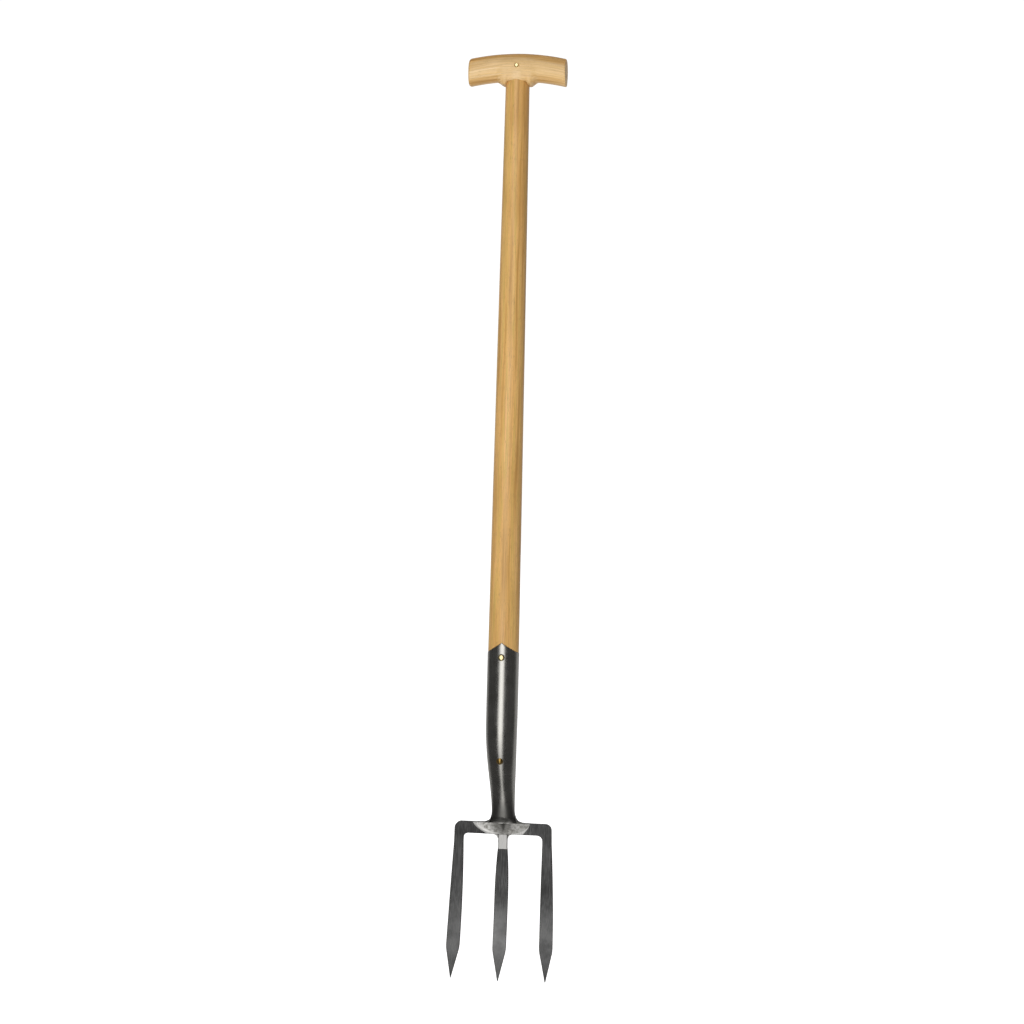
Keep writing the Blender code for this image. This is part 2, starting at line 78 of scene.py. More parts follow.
BAR_SQUARENESS = 2.3  # exponent of the section: 2 is an ellipse, more is fuller in the corners
COLLAR_SQUARENESS = 0.9  # added to it at the collar, below
MIDDLE_SQUARENESS = 2.4  # added to it at the middle, below
COLLAR_BULGE = 0.0010
TOP_SHADE_TINT = (1.02, 0.81, 0.46)  # painted shade: the wood's tone times this along the top, which faces away from the light
UNDERSIDE_SHADE_TINT = (0.98, 0.96, 0.94)  # and painted shade along the underside
# painted highlight on the collar below the pin
COLLAR_HIGHLIGHT_TONE = (0.84, 0.63, 0.37)

# Shaft
SHAFT_SHOULDER = 1.1780
SHAFT_TOP_RADIUS = 0.0155
SHAFT_FOOT_RADIUS = 0.0200
SHAFT_SWELL = 0.0010
TENON_RADIUS = 0.0110
TENON_TOP = shaft_high.z
TENON_CHAMFER = 0.0012
NOSE_END = 0.2620
NOSE_CHAMFER = 0.0020
PIN_HEIGHT = (pin_low.z + pin_high.z) / 2
PIN_RADIUS = (pin_high.x - pin_low.x) / 2
PIN_REACH = (pin_high.y - pin_low.y) / 2
PIN_FLATNESS = 7.0  # power of its dome: 2 is round, more is flatter with a rounder edge
PIN_CROWN = 0.12  # share of its radius that is level, in the middle of the dome
PIN_ROOM = GAP * 0.5  # round it, in the wood
SHOULDER_ROOM = GAP * 0.6  # round the shaft's end, in the grip
MORTISE_REACH = 0.0200  # how far its cutter goes out past the underside
SHAFT_EDGE_MARGIN = 0.0040  # between its last level section and the socket's peak

# Socket
SOCKET_WALL = 0.0018
SOCKET_HALF_WIDTH = (socket_high.x - socket_low.x) / 2
SOCKET_NECK = 0.0151
TAPER_TOP = 0.3650
TAPER_END = 0.2150
TAPER_POWER = 1.4
EDGE_PEAK = socket_high.z
EDGE_DROP = 0.0130
CRANK_TOP = 0.3350
FLATTEN_TOP = 0.2850
FOOT_HALF_DEPTH = (0.0125, 0.0062)  # where the relief starts, and at the crossbar
RELIEF_TOP = 0.2175  # below it the foot's front and back come in to the crossbar
FOOT_FLARE = 0.0036
FLARE_TOP = 0.2240
FOOT_SQUARENESS = 2.15
STRAIGHT_END = 0.4250  # height of the highest level section
LIP_RADIUS = 0.0005
SEAM_DEPTH = 0.0006
SEAM_HALF_WIDTH = 0.0006
SEAM_FADE = (0.2650, 0.3000)
UPPER_RIVET_HEIGHT = (upper_low.z + upper_high.z) / 2
LOWER_RIVET_HEIGHT = 0.2978
RIVET_RADIUS = 0.0025
RIVET_HEAD_RADIUS = 0.0045
RIVET_HEAD_HEIGHT = 0.0019
RIVET_TAIL_RADIUS = 0.0038
RIVET_TAIL_HEIGHT = 0.0013
RIVET_FLATNESS = {"upper_rivet": 4.5, "lower_rivet": 1.9}  # as for the pin
RIVET_CROWN = 0.10
TAIL_CROWN = (0.45, 0.40)  # shares of its radius: what its rounding aims at, and its last ring

# Fork head
BAR_TOP = 0.2055
BAR_SETBACK = 0.0400
BAR_LEAN = math.radians(3.6)
BEND_RADIUS = 0.6690
BAR_HEIGHT = 0.0150
BAR_HALF_THICKNESS = (0.0050, 0.0042)
BAR_THINNING = (0.0200, 0.0450)
OUTER_CORNER_RADIUS = 0.0085
INNER_CORNER_RADIUS = 0.0070
TINE_SPACING = 0.0585
TINE_SPLAY = math.tan(math.radians(1.26))
NECK_DROP = 0.0220
NECK_HALF_WIDTH = 0.0061
BLADE_HALF_WIDTH = 0.0089
NECK_HALF_THICKNESS = 0.0040
BLADE_HALF_THICKNESS = 0.0027
TIP_HALF_THICKNESS = 0.0006
TIP_HALF_WIDTH = 0.0005
POINT_LENGTH = 0.0402
SHOULDER_ROUNDING = 0.0050
OUTER_TINE_SHORTER = 0.0016
OUTER_BLADE_START = 0.0270
CENTRE_BLADE_RANGE = (0.0320, 0.0950)
EDGE_ROUNDING = 0.0006
ROUNDING_LIMITS = (0.35, 0.75)  # of an edge, as shares of the width and the half thickness
GROUND_END = 0.0345  # drop at which the ground part of the centre tine ends
GROUND_STEP = 0.00018  # how much thinner it is
FOOT_WELD_TOE = 0.0290
FOOT_WELD_HEIGHT = 0.0095
FOOT_WELD_HALF_THICKNESS = 0.0041
FOOT_WELD_ROUNDING = 0.0022
FAN_REACH = (0.0397, 0.0358)  # of the ground area along the crossbar's top, on the left and right
FAN_NARROWING = (0.0189, 0.0098)  # how much less it is along the crossbar's lower edge
PAD_HALF_WIDTH = 0.0350
PAD_DEPTH = 0.0148
PAD_HEIGHT = 0.0008
PAD_RUN_OUT = 0.0070  # drop within which it comes down from the socket's foot to the crossbar
PAD_SKIN = 0.00004  # its least thickness over the crossbar's face
PAD_ROOT = 0.0003  # how deep it goes into the crossbar
HOLLOW_HALF_WIDTH = 0.0100
HOLLOW_START = 0.0020  # drop at which it has its full depth
HOLLOW_DROP = 0.0105  # where it closes to a point
HOLLOW_SHARE = 0.6  # of the pad's height that is missing in the middle of the hollow
PAD_ROUGHNESS = 0.45  # share by which dents change its height
PAD_DENTS = 190  # per metre
PAD_LIP = (0.0008, 0.0270)  # how far it goes up over the socket's foot, and within what half width
TINE_WELD_RADIUS = 0.0045
TINE_WELD_HALF_THICKNESS = 0.0036
TINE_WELD_ROUNDING = 0.0020
WELD_EDGE = 0.0005
WELD_TOE_SHARE = 0.98  # how far the inner edge follows the outer one

TIP_ANGLE = math.asin(math.sin(BAR_LEAN) - BAR_TOP / BEND_RADIUS)
TIP_DROP = (BAR_LEAN - TIP_ANGLE) * BEND_RADIUS

SHARP_ANGLE = math.radians(35)

# How hand work leaves each piece: (depth, dents per metre along x, y and z, seed)
HAND_WORK = {
    "shaft": (0.00014, (70, 70, 9), 3.0),
    "grip": (0.00022, (45, 80, 80), 11.0),
    "yoke": (0.00010, (90, 60, 35), 21.0),
    "centre_tine": (0.00010, (90, 60, 35), 27.0),
    "left_foot_weld": (0.00060, (260, 260, 260), 30.0),
    "right_foot_weld": (0.00020, (260, 260, 260), 32.0),
}

# View
VIEW_AZIMUTH = math.radians(7.5)
VIEW_ROLL = math.radians(1.44)
VIEW_DISTANCE = 3.0
VIEW_HEIGHT = 0.6146
VIEW_SHIFT = 0.0065  # to the right of the shaft's axis
FRAME_WIDTH = 1.3312  # at the object
SENSOR_WIDTH = 36.0
VIEW_RIGHT = Vector((math.cos(VIEW_AZIMUTH), math.sin(VIEW_AZIMUTH), 0))
VIEW_AHEAD = Vector((-math.sin(VIEW_AZIMUTH), math.cos(VIEW_AZIMUTH), 0))

# Soft boxes: (azimuth, elevation, distance, size, power), in degrees, metres and watts
LIGHTS = {
    "front_fill": (-10, 0, 3.0, (2.0, 2.4), 38),
    "left_fill": (-85, 5, 2.6, (1.2, 2.4), 14),
    "right_fill": (80, 0, 2.6, (1.2, 2.4), 11),
    "back_fill": (180, 25, 2.8, (2.4, 2.0), 18),
    "top_fill": (0, 85, 2.6, (2.4, 2.4), 3),
}
LIGHTS_FACE = Vector((0, 0, 0.6))

# What steel mirrors. Pairs go from where a part of it fades in or out to the other end of the fade
BAND_AZIMUTH = math.radians(-9)
BAND_SIDES = (math.radians(23), math.radians(9))  # from its middle
BAND_FOOT = (-1.1, -0.1, 0.48, 1.0)  # elevations, then the levels there
BAND_HEAD = (1.2, 0.6)
BAND_LEVEL = 2.1
WALL_SIDES = (math.radians(108), math.radians(132))
WALL_LEVEL = 0.36
ROOM_LEVEL = 0.075
FLOOR_BOUNCE = (0.0, -1.0, 0.0, 0.75)  # elevations, then the levels there, for matt surfaces only
BACKDROP_LEVEL = 1.05
FLOOR_RADIUS = 30.0
FLOOR_DROP = 0.0004
FLOOR_GLOW = 0.92


def mix(a, b, t):
    return a + (b - a) * t


def smooth(t):
    """0 below 0, 1 above 1, and a smooth step between."""
    t = min(max(t, 0.0), 1.0)
    return t * t * (3 - 2 * t)


def spaced(start, end, count):
    return [mix(start, end, i / (count - 1)) for i in range(count)]


def signed_power(value, power):
    return math.copysign(abs(value) ** power, value)


# ---- meshes


def loft(rings, ring_joined=False):
    """A skin from ring to ring. The last ring meets the first one, or both ends close in a fan."""
    mesh = bmesh.new()
    loops = [[mesh.verts.new(point) for point in ring] for ring in rings]
    pairs = list(zip(loops, loops[1:]))
    if ring_joined:
        pairs.append((loops[-1], loops[0]))
    for upper, lower in pairs:
        for i in range(len(upper)):
            j = (i + 1) % len(upper)
            mesh.faces.new((upper[i], upper[j], lower[j], lower[i]))
    if not ring_joined:
        for loop in (loops[0], loops[-1]):
            centre = mesh.verts.new(sum((v.co for v in loop), Vector()) / len(loop))
            for i in range(len(loop)):
                mesh.faces.new((loop[i], loop[(i + 1) % len(loop)], centre))
    bmesh.ops.recalc_face_normals(mesh, faces=mesh.faces)
    return mesh


def uneven(mesh, depth, scale, seed):
    """Presses the surface in by 0 to depth, as hand work leaves it. scale is in dents per metre."""
    mesh.normal_update()
    offset = Vector((seed, seed * 1.7, seed * 2.3))
    moves = []
    for vert in mesh.verts:
        amount = noise.noise(Vector(c * s for c, s in zip(vert.co, scale)) + offset)
        moves.append(vert.normal * (-depth * (0.5 + 0.5 * amount)))
    for vert, move in zip(mesh.verts, moves):
        vert.co += move
    return mesh


def add_object(name, mesh, location=(0, 0, 0), tilt=0.0):
    data = bpy.data.meshes.new(name)
    mesh.to_mesh(data)
    mesh.free()
    made = bpy.data.objects.new(name, data)
    bpy.context.scene.collection.objects.link(made)
    made.location = Vector(location) + Vector((0, AXIS_Y, 0))
    made.rotation_euler.x = tilt
    return made


def cut(piece, *cutters):
    """Takes the cutters out of the piece."""
    for cutter in cutters:
        boolean = piece.modifiers.new(cutter.name, "BOOLEAN")
        boolean.operation = "DIFFERENCE"
        boolean.solver = "EXACT"
        boolean.object = cutter
    bpy.context.view_layer.update()
    evaluated = piece.evaluated_get(bpy.context.evaluated_depsgraph_get())
    data = bpy.data.meshes.new_from_object(evaluated)
    piece.modifiers.clear()
    piece.data = data


def finish_piece(piece, material, slot, *nodes):
    """Shades the piece, gives it its material, and puts it in the place of these CAD nodes."""
    piece.data.shade_smooth()
    piece.data.set_sharp_from_angle(angle=SHARP_ANGLE)
    piece.data.materials.clear()
    piece.data.materials.append(material)
    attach(piece, "root")
    if nodes:
        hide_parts(*nodes)


def turned(profile, sides, along_y=False):
    """A solid turned about Z, or about Y, from (radius, position) pairs."""
    rings = []
    for radius, position in profile:
        ring = []
        for i in range(sides):
            angle = 2 * math.pi * i / sides
            a = radius * math.cos(angle)
            b = radius * math.sin(angle)
            ring.append(Vector((a, position, b)) if along_y else Vector((a, b, position)))
        rings.append(ring)
    return loft(rings)


def hole(name, radius, half_length, location, tilt=0.0):
    """A cutter along Y."""
    profile = [(radius, -half_length), (radius, half_length)]
    return add_object(name, turned(profile, 32, along_y=True), location, tilt)


# ---- socket and shaft shapes


def crank(height):
    """How far the socket's centre line is behind the shaft's axis, and how steeply it goes back."""
    length = CRANK_TOP - BAR_TOP
    t = min(max((CRANK_TOP - height) / length, 0.0), 1.0)
    end_slope = math.tan(BAR_LEAN)
    setback = BAR_SETBACK * t * t * (3 - 2 * t) + length * end_slope * (t**3 - t**2)
    slope = BAR_SETBACK * 6 * t * (1 - t) / length + end_slope * (3 * t * t - 2 * t)
    return setback, slope


def socket_half_width(height):
    t = min(max((TAPER_TOP - height) / (TAPER_TOP - TAPER_END), 0.0), 1.0)
    narrowing = (1 - math.cos(math.pi * t**TAPER_POWER)) / 2
    flare = max((FLARE_TOP - height) / (FLARE_TOP - BAR_TOP), 0.0)
    return mix(SOCKET_HALF_WIDTH, SOCKET_NECK, narrowing) + FOOT_FLARE * flare**2


def round_angles():
    """Angles round the socket from the front, closer together at the seam at the back."""
    even = [2 * math.pi * i / 96 for i in range(96)]
    near_seam = [math.pi + offset / 1000 for offset in (-48, -32, -22, -13, 13, 22, 32, 48)]
    return sorted(even + near_seam)


ROUND_ANGLES = round_angles()


def socket_section(height):
    """(half width, half depth, squareness) of the socket's outside: round above, flatter below."""
    half_width = socket_half_width(height)
    flatness = smooth((FLATTEN_TOP - height) / (FLATTEN_TOP - RELIEF_TOP))
    half_depth = mix(half_width, FOOT_HALF_DEPTH[0], flatness)
    relief = FOOT_HALF_DEPTH[0] - FOOT_HALF_DEPTH[1]
    half_depth -= relief * smooth((RELIEF_TOP - height) / (RELIEF_TOP - BAR_TOP))
    return half_width, half_depth, mix(2, FOOT_SQUARENESS, flatness)


def socket_ring(height, inset=0.0, seam=0.0):
    """The socket's section at a height, square to its centre line, made smaller by inset."""
    setback, slope = crank(height)
    half_width, half_depth, squareness = socket_section(height)
    half_width -= inset
    half_depth -= inset
    power = 2 / squareness
    front = Vector((0, -1, -slope)).normalized()
    centre = Vector((0, setback, height))
    ring = []
    for angle in ROUND_ANGLES:
        across = signed_power(math.sin(angle), power)
        ahead = signed_power(math.cos(angle), power)
        groove = seam * math.exp(-(((angle - math.pi) * half_depth / SEAM_HALF_WIDTH) ** 2))
        place = centre + front * (half_depth * ahead + groove)
        ring.append(place + Vector((half_width * across, 0, 0)))
    return ring


def edge_ring(radius, lift=0.0, seam=0.0):
    """The line of the socket's top edge on a round of this radius, with its peak in front."""
    ring = []
    for angle in ROUND_ANGLES:
        drop = EDGE_DROP * (abs(math.sin(angle)) if math.cos(angle) > 0 else 1.0)
        groove = seam * math.exp(-(((angle - math.pi) * radius / SEAM_HALF_WIDTH) ** 2))
        reach = radius - groove
        ring.append(Vector((reach * math.sin(angle), -reach * math.cos(angle), EDGE_PEAK - drop + lift)))
    return ring


def between(first, last, steps):
    """Rings between two rings, without them."""
    rings = []
    for step in range(1, steps):
        rings.append([a.lerp(b, step / steps) for a, b in zip(first, last)])
    return rings


def level_ring(radius, height):
    return [Vector((radius * math.sin(angle), -radius * math.cos(angle), height)) for angle in ROUND_ANGLES]


def shaft_radius(height):
    t = (SHAFT_SHOULDER - height) / (SHAFT_SHOULDER - EDGE_PEAK)
    return mix(SHAFT_TOP_RADIUS, SHAFT_FOOT_RADIUS, t) + SHAFT_SWELL * t * (1 - t)


def shaft_mesh():
    rings = [
        level_ring(TENON_RADIUS - TENON_CHAMFER, TENON_TOP),
        level_ring(TENON_RADIUS, TENON_TOP - TENON_CHAMFER),
        level_ring(TENON_RADIUS, SHAFT_SHOULDER),
    ]
    for height in spaced(SHAFT_SHOULDER, EDGE_PEAK + SHAFT_EDGE_MARGIN, 150):
        rings.append(level_ring(shaft_radius(height), height))
    let_in = SOCKET_WALL + GAP
    shoulder = edge_ring(shaft_radius(EDGE_PEAK), GAP)
    rings += between(rings[-1], shoulder, 4) + [shoulder]
    rings.append(edge_ring(SOCKET_HALF_WIDTH - let_in, GAP))
    heights = spaced(STRAIGHT_END, NOSE_END + NOSE_CHAMFER, 40)
    rings += [socket_ring(height, let_in) for height in heights]
    rings.append(socket_ring(NOSE_END, let_in + NOSE_CHAMFER))
    return uneven(loft(rings), *HAND_WORK["shaft"])


def socket_mesh():
    """The socket's tube, with a rounded lip and the closed seam down its back."""
    outer = []
    for step in range(5):
        turn = math.pi / 2 * step / 4
        inset = LIP_RADIUS * (1 - math.sin(turn))
        lift = -LIP_RADIUS * (1 - math.cos(turn))
        outer.append(edge_ring(SOCKET_HALF_WIDTH - inset, lift, SEAM_DEPTH))
    top = socket_ring(STRAIGHT_END, 0.0, SEAM_DEPTH)
    outer += between(outer[-1], top, 8)
    heights = spaced(STRAIGHT_END, RELIEF_TOP, 84) + spaced(RELIEF_TOP, BAR_TOP - FUSED, 14)[1:]
    for height in heights:
        seam = SEAM_DEPTH * smooth((height - SEAM_FADE[0]) / (SEAM_FADE[1] - SEAM_FADE[0]))
        outer.append(socket_ring(height, 0.0, seam))
    inner = [socket_ring(height, SOCKET_WALL) for height in reversed(heights)]
    lip = edge_ring(SOCKET_HALF_WIDTH - SOCKET_WALL)
    inner += between(inner[-1], lip, 8) + [lip]
    return loft(outer + inner, ring_joined=True)


# ---- grip, pin and rivets


def grip_section(x, inset):
    """The grip's section at x, made smaller by inset: (half depth, top, underside, fullness below)."""
    run = (x / GRIP_HALF_LENGTH) ** 2
    start, full, end = COLLAR_EARS
    collar = 1 - smooth((abs(x) - end) / (COLLAR_FOOT - end))
    share = mix(COLLAR_MIDDLE_SHARE, 1.0, smooth((abs(x) - start) / (full - start)))
    top = GRIP_TOP - GRIP_TOP_FALL * run - inset
    underside = GRIP_UNDERSIDE - GRIP_UNDERSIDE_FALL * run - COLLAR_DEPTH * collar * share + inset
    half_depth = GRIP_HALF_DEPTH + COLLAR_BULGE * collar - inset
    middle = 1 - smooth(abs(x) / COLLAR_FOOT)
    fullness = BAR_SQUARENESS + COLLAR_SQUARENESS * collar + MIDDLE_SQUARENESS * middle
    return half_depth, top, underside, fullness


def grip_ring(x, inset=0.0):
    half_depth, top, underside, fullness = grip_section(x, inset)
    middle = (top + underside) / 2
    half_height = (top - underside) / 2
    ring = []
    for i in range(GRIP_SIDES):
        angle = 2 * math.pi * (i + 0.5) / GRIP_SIDES
        power = 2 / mix(BAR_SQUARENESS, fullness, smooth(-math.sin(angle)))
        y = signed_power(math.cos(angle), power) * half_depth
        z = signed_power(math.sin(angle), power) * half_height
        ring.append(Vector((x, y, middle + z)))
    return ring


def end_rounding(radius):
    """(x, inset) from the middle of an end face of the grip to where its rounded edge ends."""
    stations = []
    for share in (1.0, 0.6, 0.3):
        stations.append((GRIP_HALF_LENGTH - END_DISH * share**2, radius + END_FACE_REACH * share))
    for step in range(9):
        angle = math.pi / 2 * step / 8
        x = GRIP_HALF_LENGTH - radius * (1 - math.sin(math.pi / 2 - angle))
        stations.append((x, radius * (1 - math.sin(angle))))
    return stations


def grip_mesh():
    stations = [(-x, inset) for x, inset in end_rounding(LEFT_ROUNDING)]
    for x in spaced(-GRIP_HALF_LENGTH + EVEN_FROM[0], GRIP_HALF_LENGTH - EVEN_FROM[1], 110):
        stations.append((x, 0.0))
    stations += reversed(end_rounding(RIGHT_ROUNDING))
    return uneven(loft([grip_ring(x, inset) for x, inset in stations]), *HAND_WORK["grip"])


def mortise_mesh():
    """What the shaft's end takes out of the grip, with room round it."""
    wide = shaft_radius(SHAFT_SHOULDER) + SHOULDER_ROOM
    narrow = TENON_RADIUS + GAP
    profile = [
        (wide, GRIP_UNDERSIDE - MORTISE_REACH),
        (wide, SHAFT_SHOULDER + GAP),
        (narrow, SHAFT_SHOULDER + GAP),
        (narrow, TENON_TOP + GAP),
    ]
    return turned(profile, 96)


def pin_mesh():
    flat = GRIP_HALF_DEPTH + COLLAR_BULGE
    dome = PIN_REACH - flat
    profile = []
    for share in spaced(PIN_CROWN, 1.0, 9):
        profile.append((PIN_RADIUS * share, flat + dome * (1 - share**PIN_FLATNESS)))
    return turned([(r, -y) for r, y in profile] + list(reversed(profile)), 40, along_y=True)


def rivet_mesh(half_width, flatness):
    """A rivet along Y, with its dome in front. Its undersides lie on the round of the socket."""
    seat = half_width + GAP
    outline = []
    for share in spaced(RIVET_CROWN, 1.0, 14):
        outline.append((RIVET_HEAD_RADIUS * share, RIVET_HEAD_HEIGHT * (1 - share**flatness), -1))
    outline += [(RIVET_RADIUS, 0.0, -1), (RIVET_RADIUS, 0.0, 1), (RIVET_TAIL_RADIUS, 0.0, 1)]
    for step in range(6):
        angle = math.pi / 2 * step / 6
        radius = mix(TAIL_CROWN[0], 1.0, math.cos(angle)) * RIVET_TAIL_RADIUS
        outline.append((radius, RIVET_TAIL_HEIGHT * math.sin(angle), 1))
    outline.append((RIVET_TAIL_RADIUS * TAIL_CROWN[1], RIVET_TAIL_HEIGHT, 1))
    rings = []
    for radius, over, end in outline:
        ring = []
        for i in range(48):
            angle = 2 * math.pi * i / 48
            x = radius * math.cos(angle)
            dip = seat - math.sqrt(seat**2 - x**2)
            y = seat + over - dip * (1 - over / RIVET_HEAD_HEIGHT)
            ring.append(Vector((x, end * y, radius * math.sin(angle))))
        rings.append(ring)
    return loft(rings)


# ---- fork head


def head_point(x, drop, back=0.0):
    """A point of the bent head: x across, drop down the arc, and back behind its middle surface."""
    angle = BAR_LEAN - drop / BEND_RADIUS
    y = BAR_SETBACK + BEND_RADIUS * (math.cos(angle) - math.cos(BAR_LEAN)) + back * math.cos(angle)
    z = BAR_TOP - BEND_RADIUS * (math.sin(BAR_LEAN) - math.sin(angle)) + back * math.sin(angle)
    return Vector((x, y, z))


def rounded_section(width, half_thickness, rounding):
    """(distance from the outer edge, back) round a rectangle with rounded corners."""
    r = min(rounding, width * ROUNDING_LIMITS[0], half_thickness * ROUNDING_LIMITS[1])
    corners = [
        (r, -half_thickness + r, math.pi),
        (width - r, -half_thickness + r, math.pi * 1.5),
        (width - r, half_thickness - r, 0.0),
        (r, half_thickness - r, math.pi / 2),
    ]
    arcs = []
    for across, back, start in corners:
        arc = []
        for step in range(5):
            angle = start + math.pi / 2 * step / 4
            arc.append((across + r * math.cos(angle), back + r * math.sin(angle)))
        arcs.append(arc)
    section = []
    for i, arc in enumerate(arcs):
        section += arc
        start, end = arc[-1], arcs[(i + 1) % 4][0]
        steps = 7 if i % 2 == 0 else 3
        for step in range(1, steps):
            section.append((mix(start[0], end[0], step / steps), mix(start[1], end[1], step / steps)))
    return section


def head_ring(outer, inner, half_thickness, rounding=EDGE_ROUNDING):
    """The plate's section between two (x, drop) points, which are on its edges."""
    outer = Vector(outer)
    inner = Vector(inner)
    width = (inner - outer).length
    inward = (inner - outer) / width
    ring = []
    for across, back in rounded_section(width, half_thickness, rounding):
        place = outer + inward * across
        ring.append(head_point(place.x, place.y, back))
    return ring


def tine_widths(start_drop, full_drop, tip_drop):
    """(drop, half width) down one tine: widening blade, rounded shoulder and point."""
    shoulder = tip_drop - POINT_LENGTH
    widths = []
    for drop in spaced(start_drop, shoulder - SHOULDER_ROUNDING, 60):
        t = min((drop - start_drop) / (full_drop - start_drop), 1.0)
        widths.append((drop, mix(NECK_HALF_WIDTH, BLADE_HALF_WIDTH, 1 - (1 - t) ** 2)))
    for drop in spaced(shoulder - SHOULDER_ROUNDING, shoulder + SHOULDER_ROUNDING, 9)[1:-1]:
        t = (drop - shoulder + SHOULDER_ROUNDING) / (2 * SHOULDER_ROUNDING)
        lost = (BLADE_HALF_WIDTH - TIP_HALF_WIDTH) * SHOULDER_ROUNDING / POINT_LENGTH
        widths.append((drop, BLADE_HALF_WIDTH - lost * t * t))
    for drop in spaced(shoulder + SHOULDER_ROUNDING, tip_drop, 22):
        t = (drop - shoulder) / POINT_LENGTH
        widths.append((drop, mix(BLADE_HALF_WIDTH, TIP_HALF_WIDTH, t)))
    return widths


def tine_half_thickness(drop, tip_drop):
    shoulder = tip_drop - POINT_LENGTH
    if drop < shoulder:
        t = max((drop - NECK_DROP) / (shoulder - NECK_DROP), 0.0)
        return mix(NECK_HALF_THICKNESS, BLADE_HALF_THICKNESS, t)
    return mix(BLADE_HALF_THICKNESS, TIP_HALF_THICKNESS, (drop - shoulder) / POINT_LENGTH)


def bar_half_thickness(x):
    t = smooth((abs(x) - BAR_THINNING[0]) / (BAR_THINNING[1] - BAR_THINNING[0]))
    return mix(*BAR_HALF_THICKNESS, t)


def tine_centre(drop):
    return TINE_SPACING + TINE_SPLAY * (drop - NECK_DROP)


def yoke_half():
    """(outer edge, inner edge, half thickness) from the crossbar's middle to the right tine's tip."""
    outer_start = tine_centre(OUTER_CORNER_RADIUS) + NECK_HALF_WIDTH - OUTER_CORNER_RADIUS
    inner_start = tine_centre(NECK_DROP) - NECK_HALF_WIDTH - INNER_CORNER_RADIUS
    stations = []
    for t in spaced(0.0, 1.0, 33)[:-1]:
        x = outer_start * t
        stations.append(((x, 0.0), (inner_start * t, BAR_HEIGHT), bar_half_thickness(x)))
    for step in range(17):
        t = step / 16
        turn = math.pi / 2 * t
        outer_x = outer_start + OUTER_CORNER_RADIUS * math.sin(turn)
        outer_drop = OUTER_CORNER_RADIUS * (1 - math.cos(turn))
        inner_x = inner_start + INNER_CORNER_RADIUS * math.sin(turn)
        inner_drop = BAR_HEIGHT + INNER_CORNER_RADIUS * (1 - math.cos(turn))
        half_thickness = mix(BAR_HALF_THICKNESS[1], NECK_HALF_THICKNESS, t)
        stations.append(((outer_x, outer_drop), (inner_x, inner_drop), half_thickness))
    tip_drop = TIP_DROP - OUTER_TINE_SHORTER
    for drop, half_width in tine_widths(OUTER_BLADE_START, tip_drop - POINT_LENGTH, tip_drop):
        centre = tine_centre(drop)
        sides = (centre + half_width, drop), (centre - half_width, drop)
        stations.append((*sides, tine_half_thickness(drop, tip_drop)))
    return stations


def yoke_mesh():
    right = yoke_half()
    left = []
    for outer, inner, half_thickness in reversed(right[1:]):
        left.append(((-outer[0], outer[1]), (-inner[0], inner[1]), half_thickness))
    return uneven(loft([head_ring(*station) for station in left + right]), *HAND_WORK["yoke"])


def centre_tine_mesh():
    """The centre tine, thinner by a small step where its top part is ground."""
    stations = []
    for drop in spaced(BAR_HEIGHT + GAP, CENTRE_BLADE_RANGE[0], 12)[:-1]:
        stations.append((drop, NECK_HALF_WIDTH))
    stations += tine_widths(*CENTRE_BLADE_RANGE, TIP_DROP)
    stations += [(GROUND_END - 0.0002, 0.0), (GROUND_END, 0.0)]
    stations.sort()
    rings = []
    half_width = NECK_HALF_WIDTH
    for drop, width in stations:
        half_width = width or half_width
        half_thickness = tine_half_thickness(drop, TIP_DROP)
        if drop < GROUND_END:
            half_thickness -= GROUND_STEP
        rings.append(head_ring((half_width, drop), (-half_width, drop), half_thickness))
    return uneven(loft(rings), *HAND_WORK["centre_tine"])


def foot_weld_mesh(side):
    """The fillet between the side of the socket's foot and the top of the crossbar."""
    corner = Vector((socket_half_width(BAR_TOP) - FUSED, FUSED))
    top = Vector((socket_half_width(BAR_TOP + FOOT_WELD_HEIGHT) - FUSED, -FOOT_WELD_HEIGHT))
    toe = Vector((FOOT_WELD_TOE, FUSED))
    rings = []
    for t in spaced(0.0, 1.0, 33):
        turn = math.pi / 2 * t
        x = FOOT_WELD_TOE - (FOOT_WELD_TOE - top.x - WELD_EDGE) * math.cos(turn)
        outer = Vector((x, mix(top.y, FUSED - WELD_EDGE, math.sin(turn))))
        if t < 0.5:
            inner = top.lerp(corner, smooth(t * 2))
            inner.x = socket_half_width(BAR_TOP - inner.y) - FUSED
        else:
            inner = corner.lerp(toe, smooth(t * 2 - 1) * WELD_TOE_SHARE)
        edges = (side * outer.x, outer.y), (side * inner.x, inner.y)
        rings.append(head_ring(*edges, FOOT_WELD_HALF_THICKNESS, FOOT_WELD_ROUNDING))
    return uneven(loft(rings), *HAND_WORK["right_foot_weld" if side > 0 else "left_foot_weld"])


def pad_lift(x, drop):
    """How far the ground metal over the joint stands out from the crossbar's face."""
    crown = PAD_HEIGHT * max(1 - (x / PAD_HALF_WIDTH) ** 2 - (drop / PAD_DEPTH) ** 2, 0.0)
    across = min(abs(x) / socket_half_width(BAR_TOP), 1.0)
    foot = FOOT_HALF_DEPTH[1] * (1 - across**FOOT_SQUARENESS) ** (1 / FOOT_SQUARENESS)
    step = max(foot - bar_half_thickness(x), 0.0)
    run_out = step * (1 - smooth(drop / PAD_RUN_OUT))
    opening = HOLLOW_HALF_WIDTH * (1 - drop / HOLLOW_DROP)
    hollow = 0.0
    if abs(x) < opening:
        hollow = HOLLOW_SHARE * smooth(1 - abs(x) / opening) * smooth(drop / HOLLOW_START)
    dents = 1 + PAD_ROUGHNESS * noise.noise(Vector((x, drop, 0)) * PAD_DENTS)
    return PAD_SKIN + max(crown, run_out) * (1 - hollow) * dents


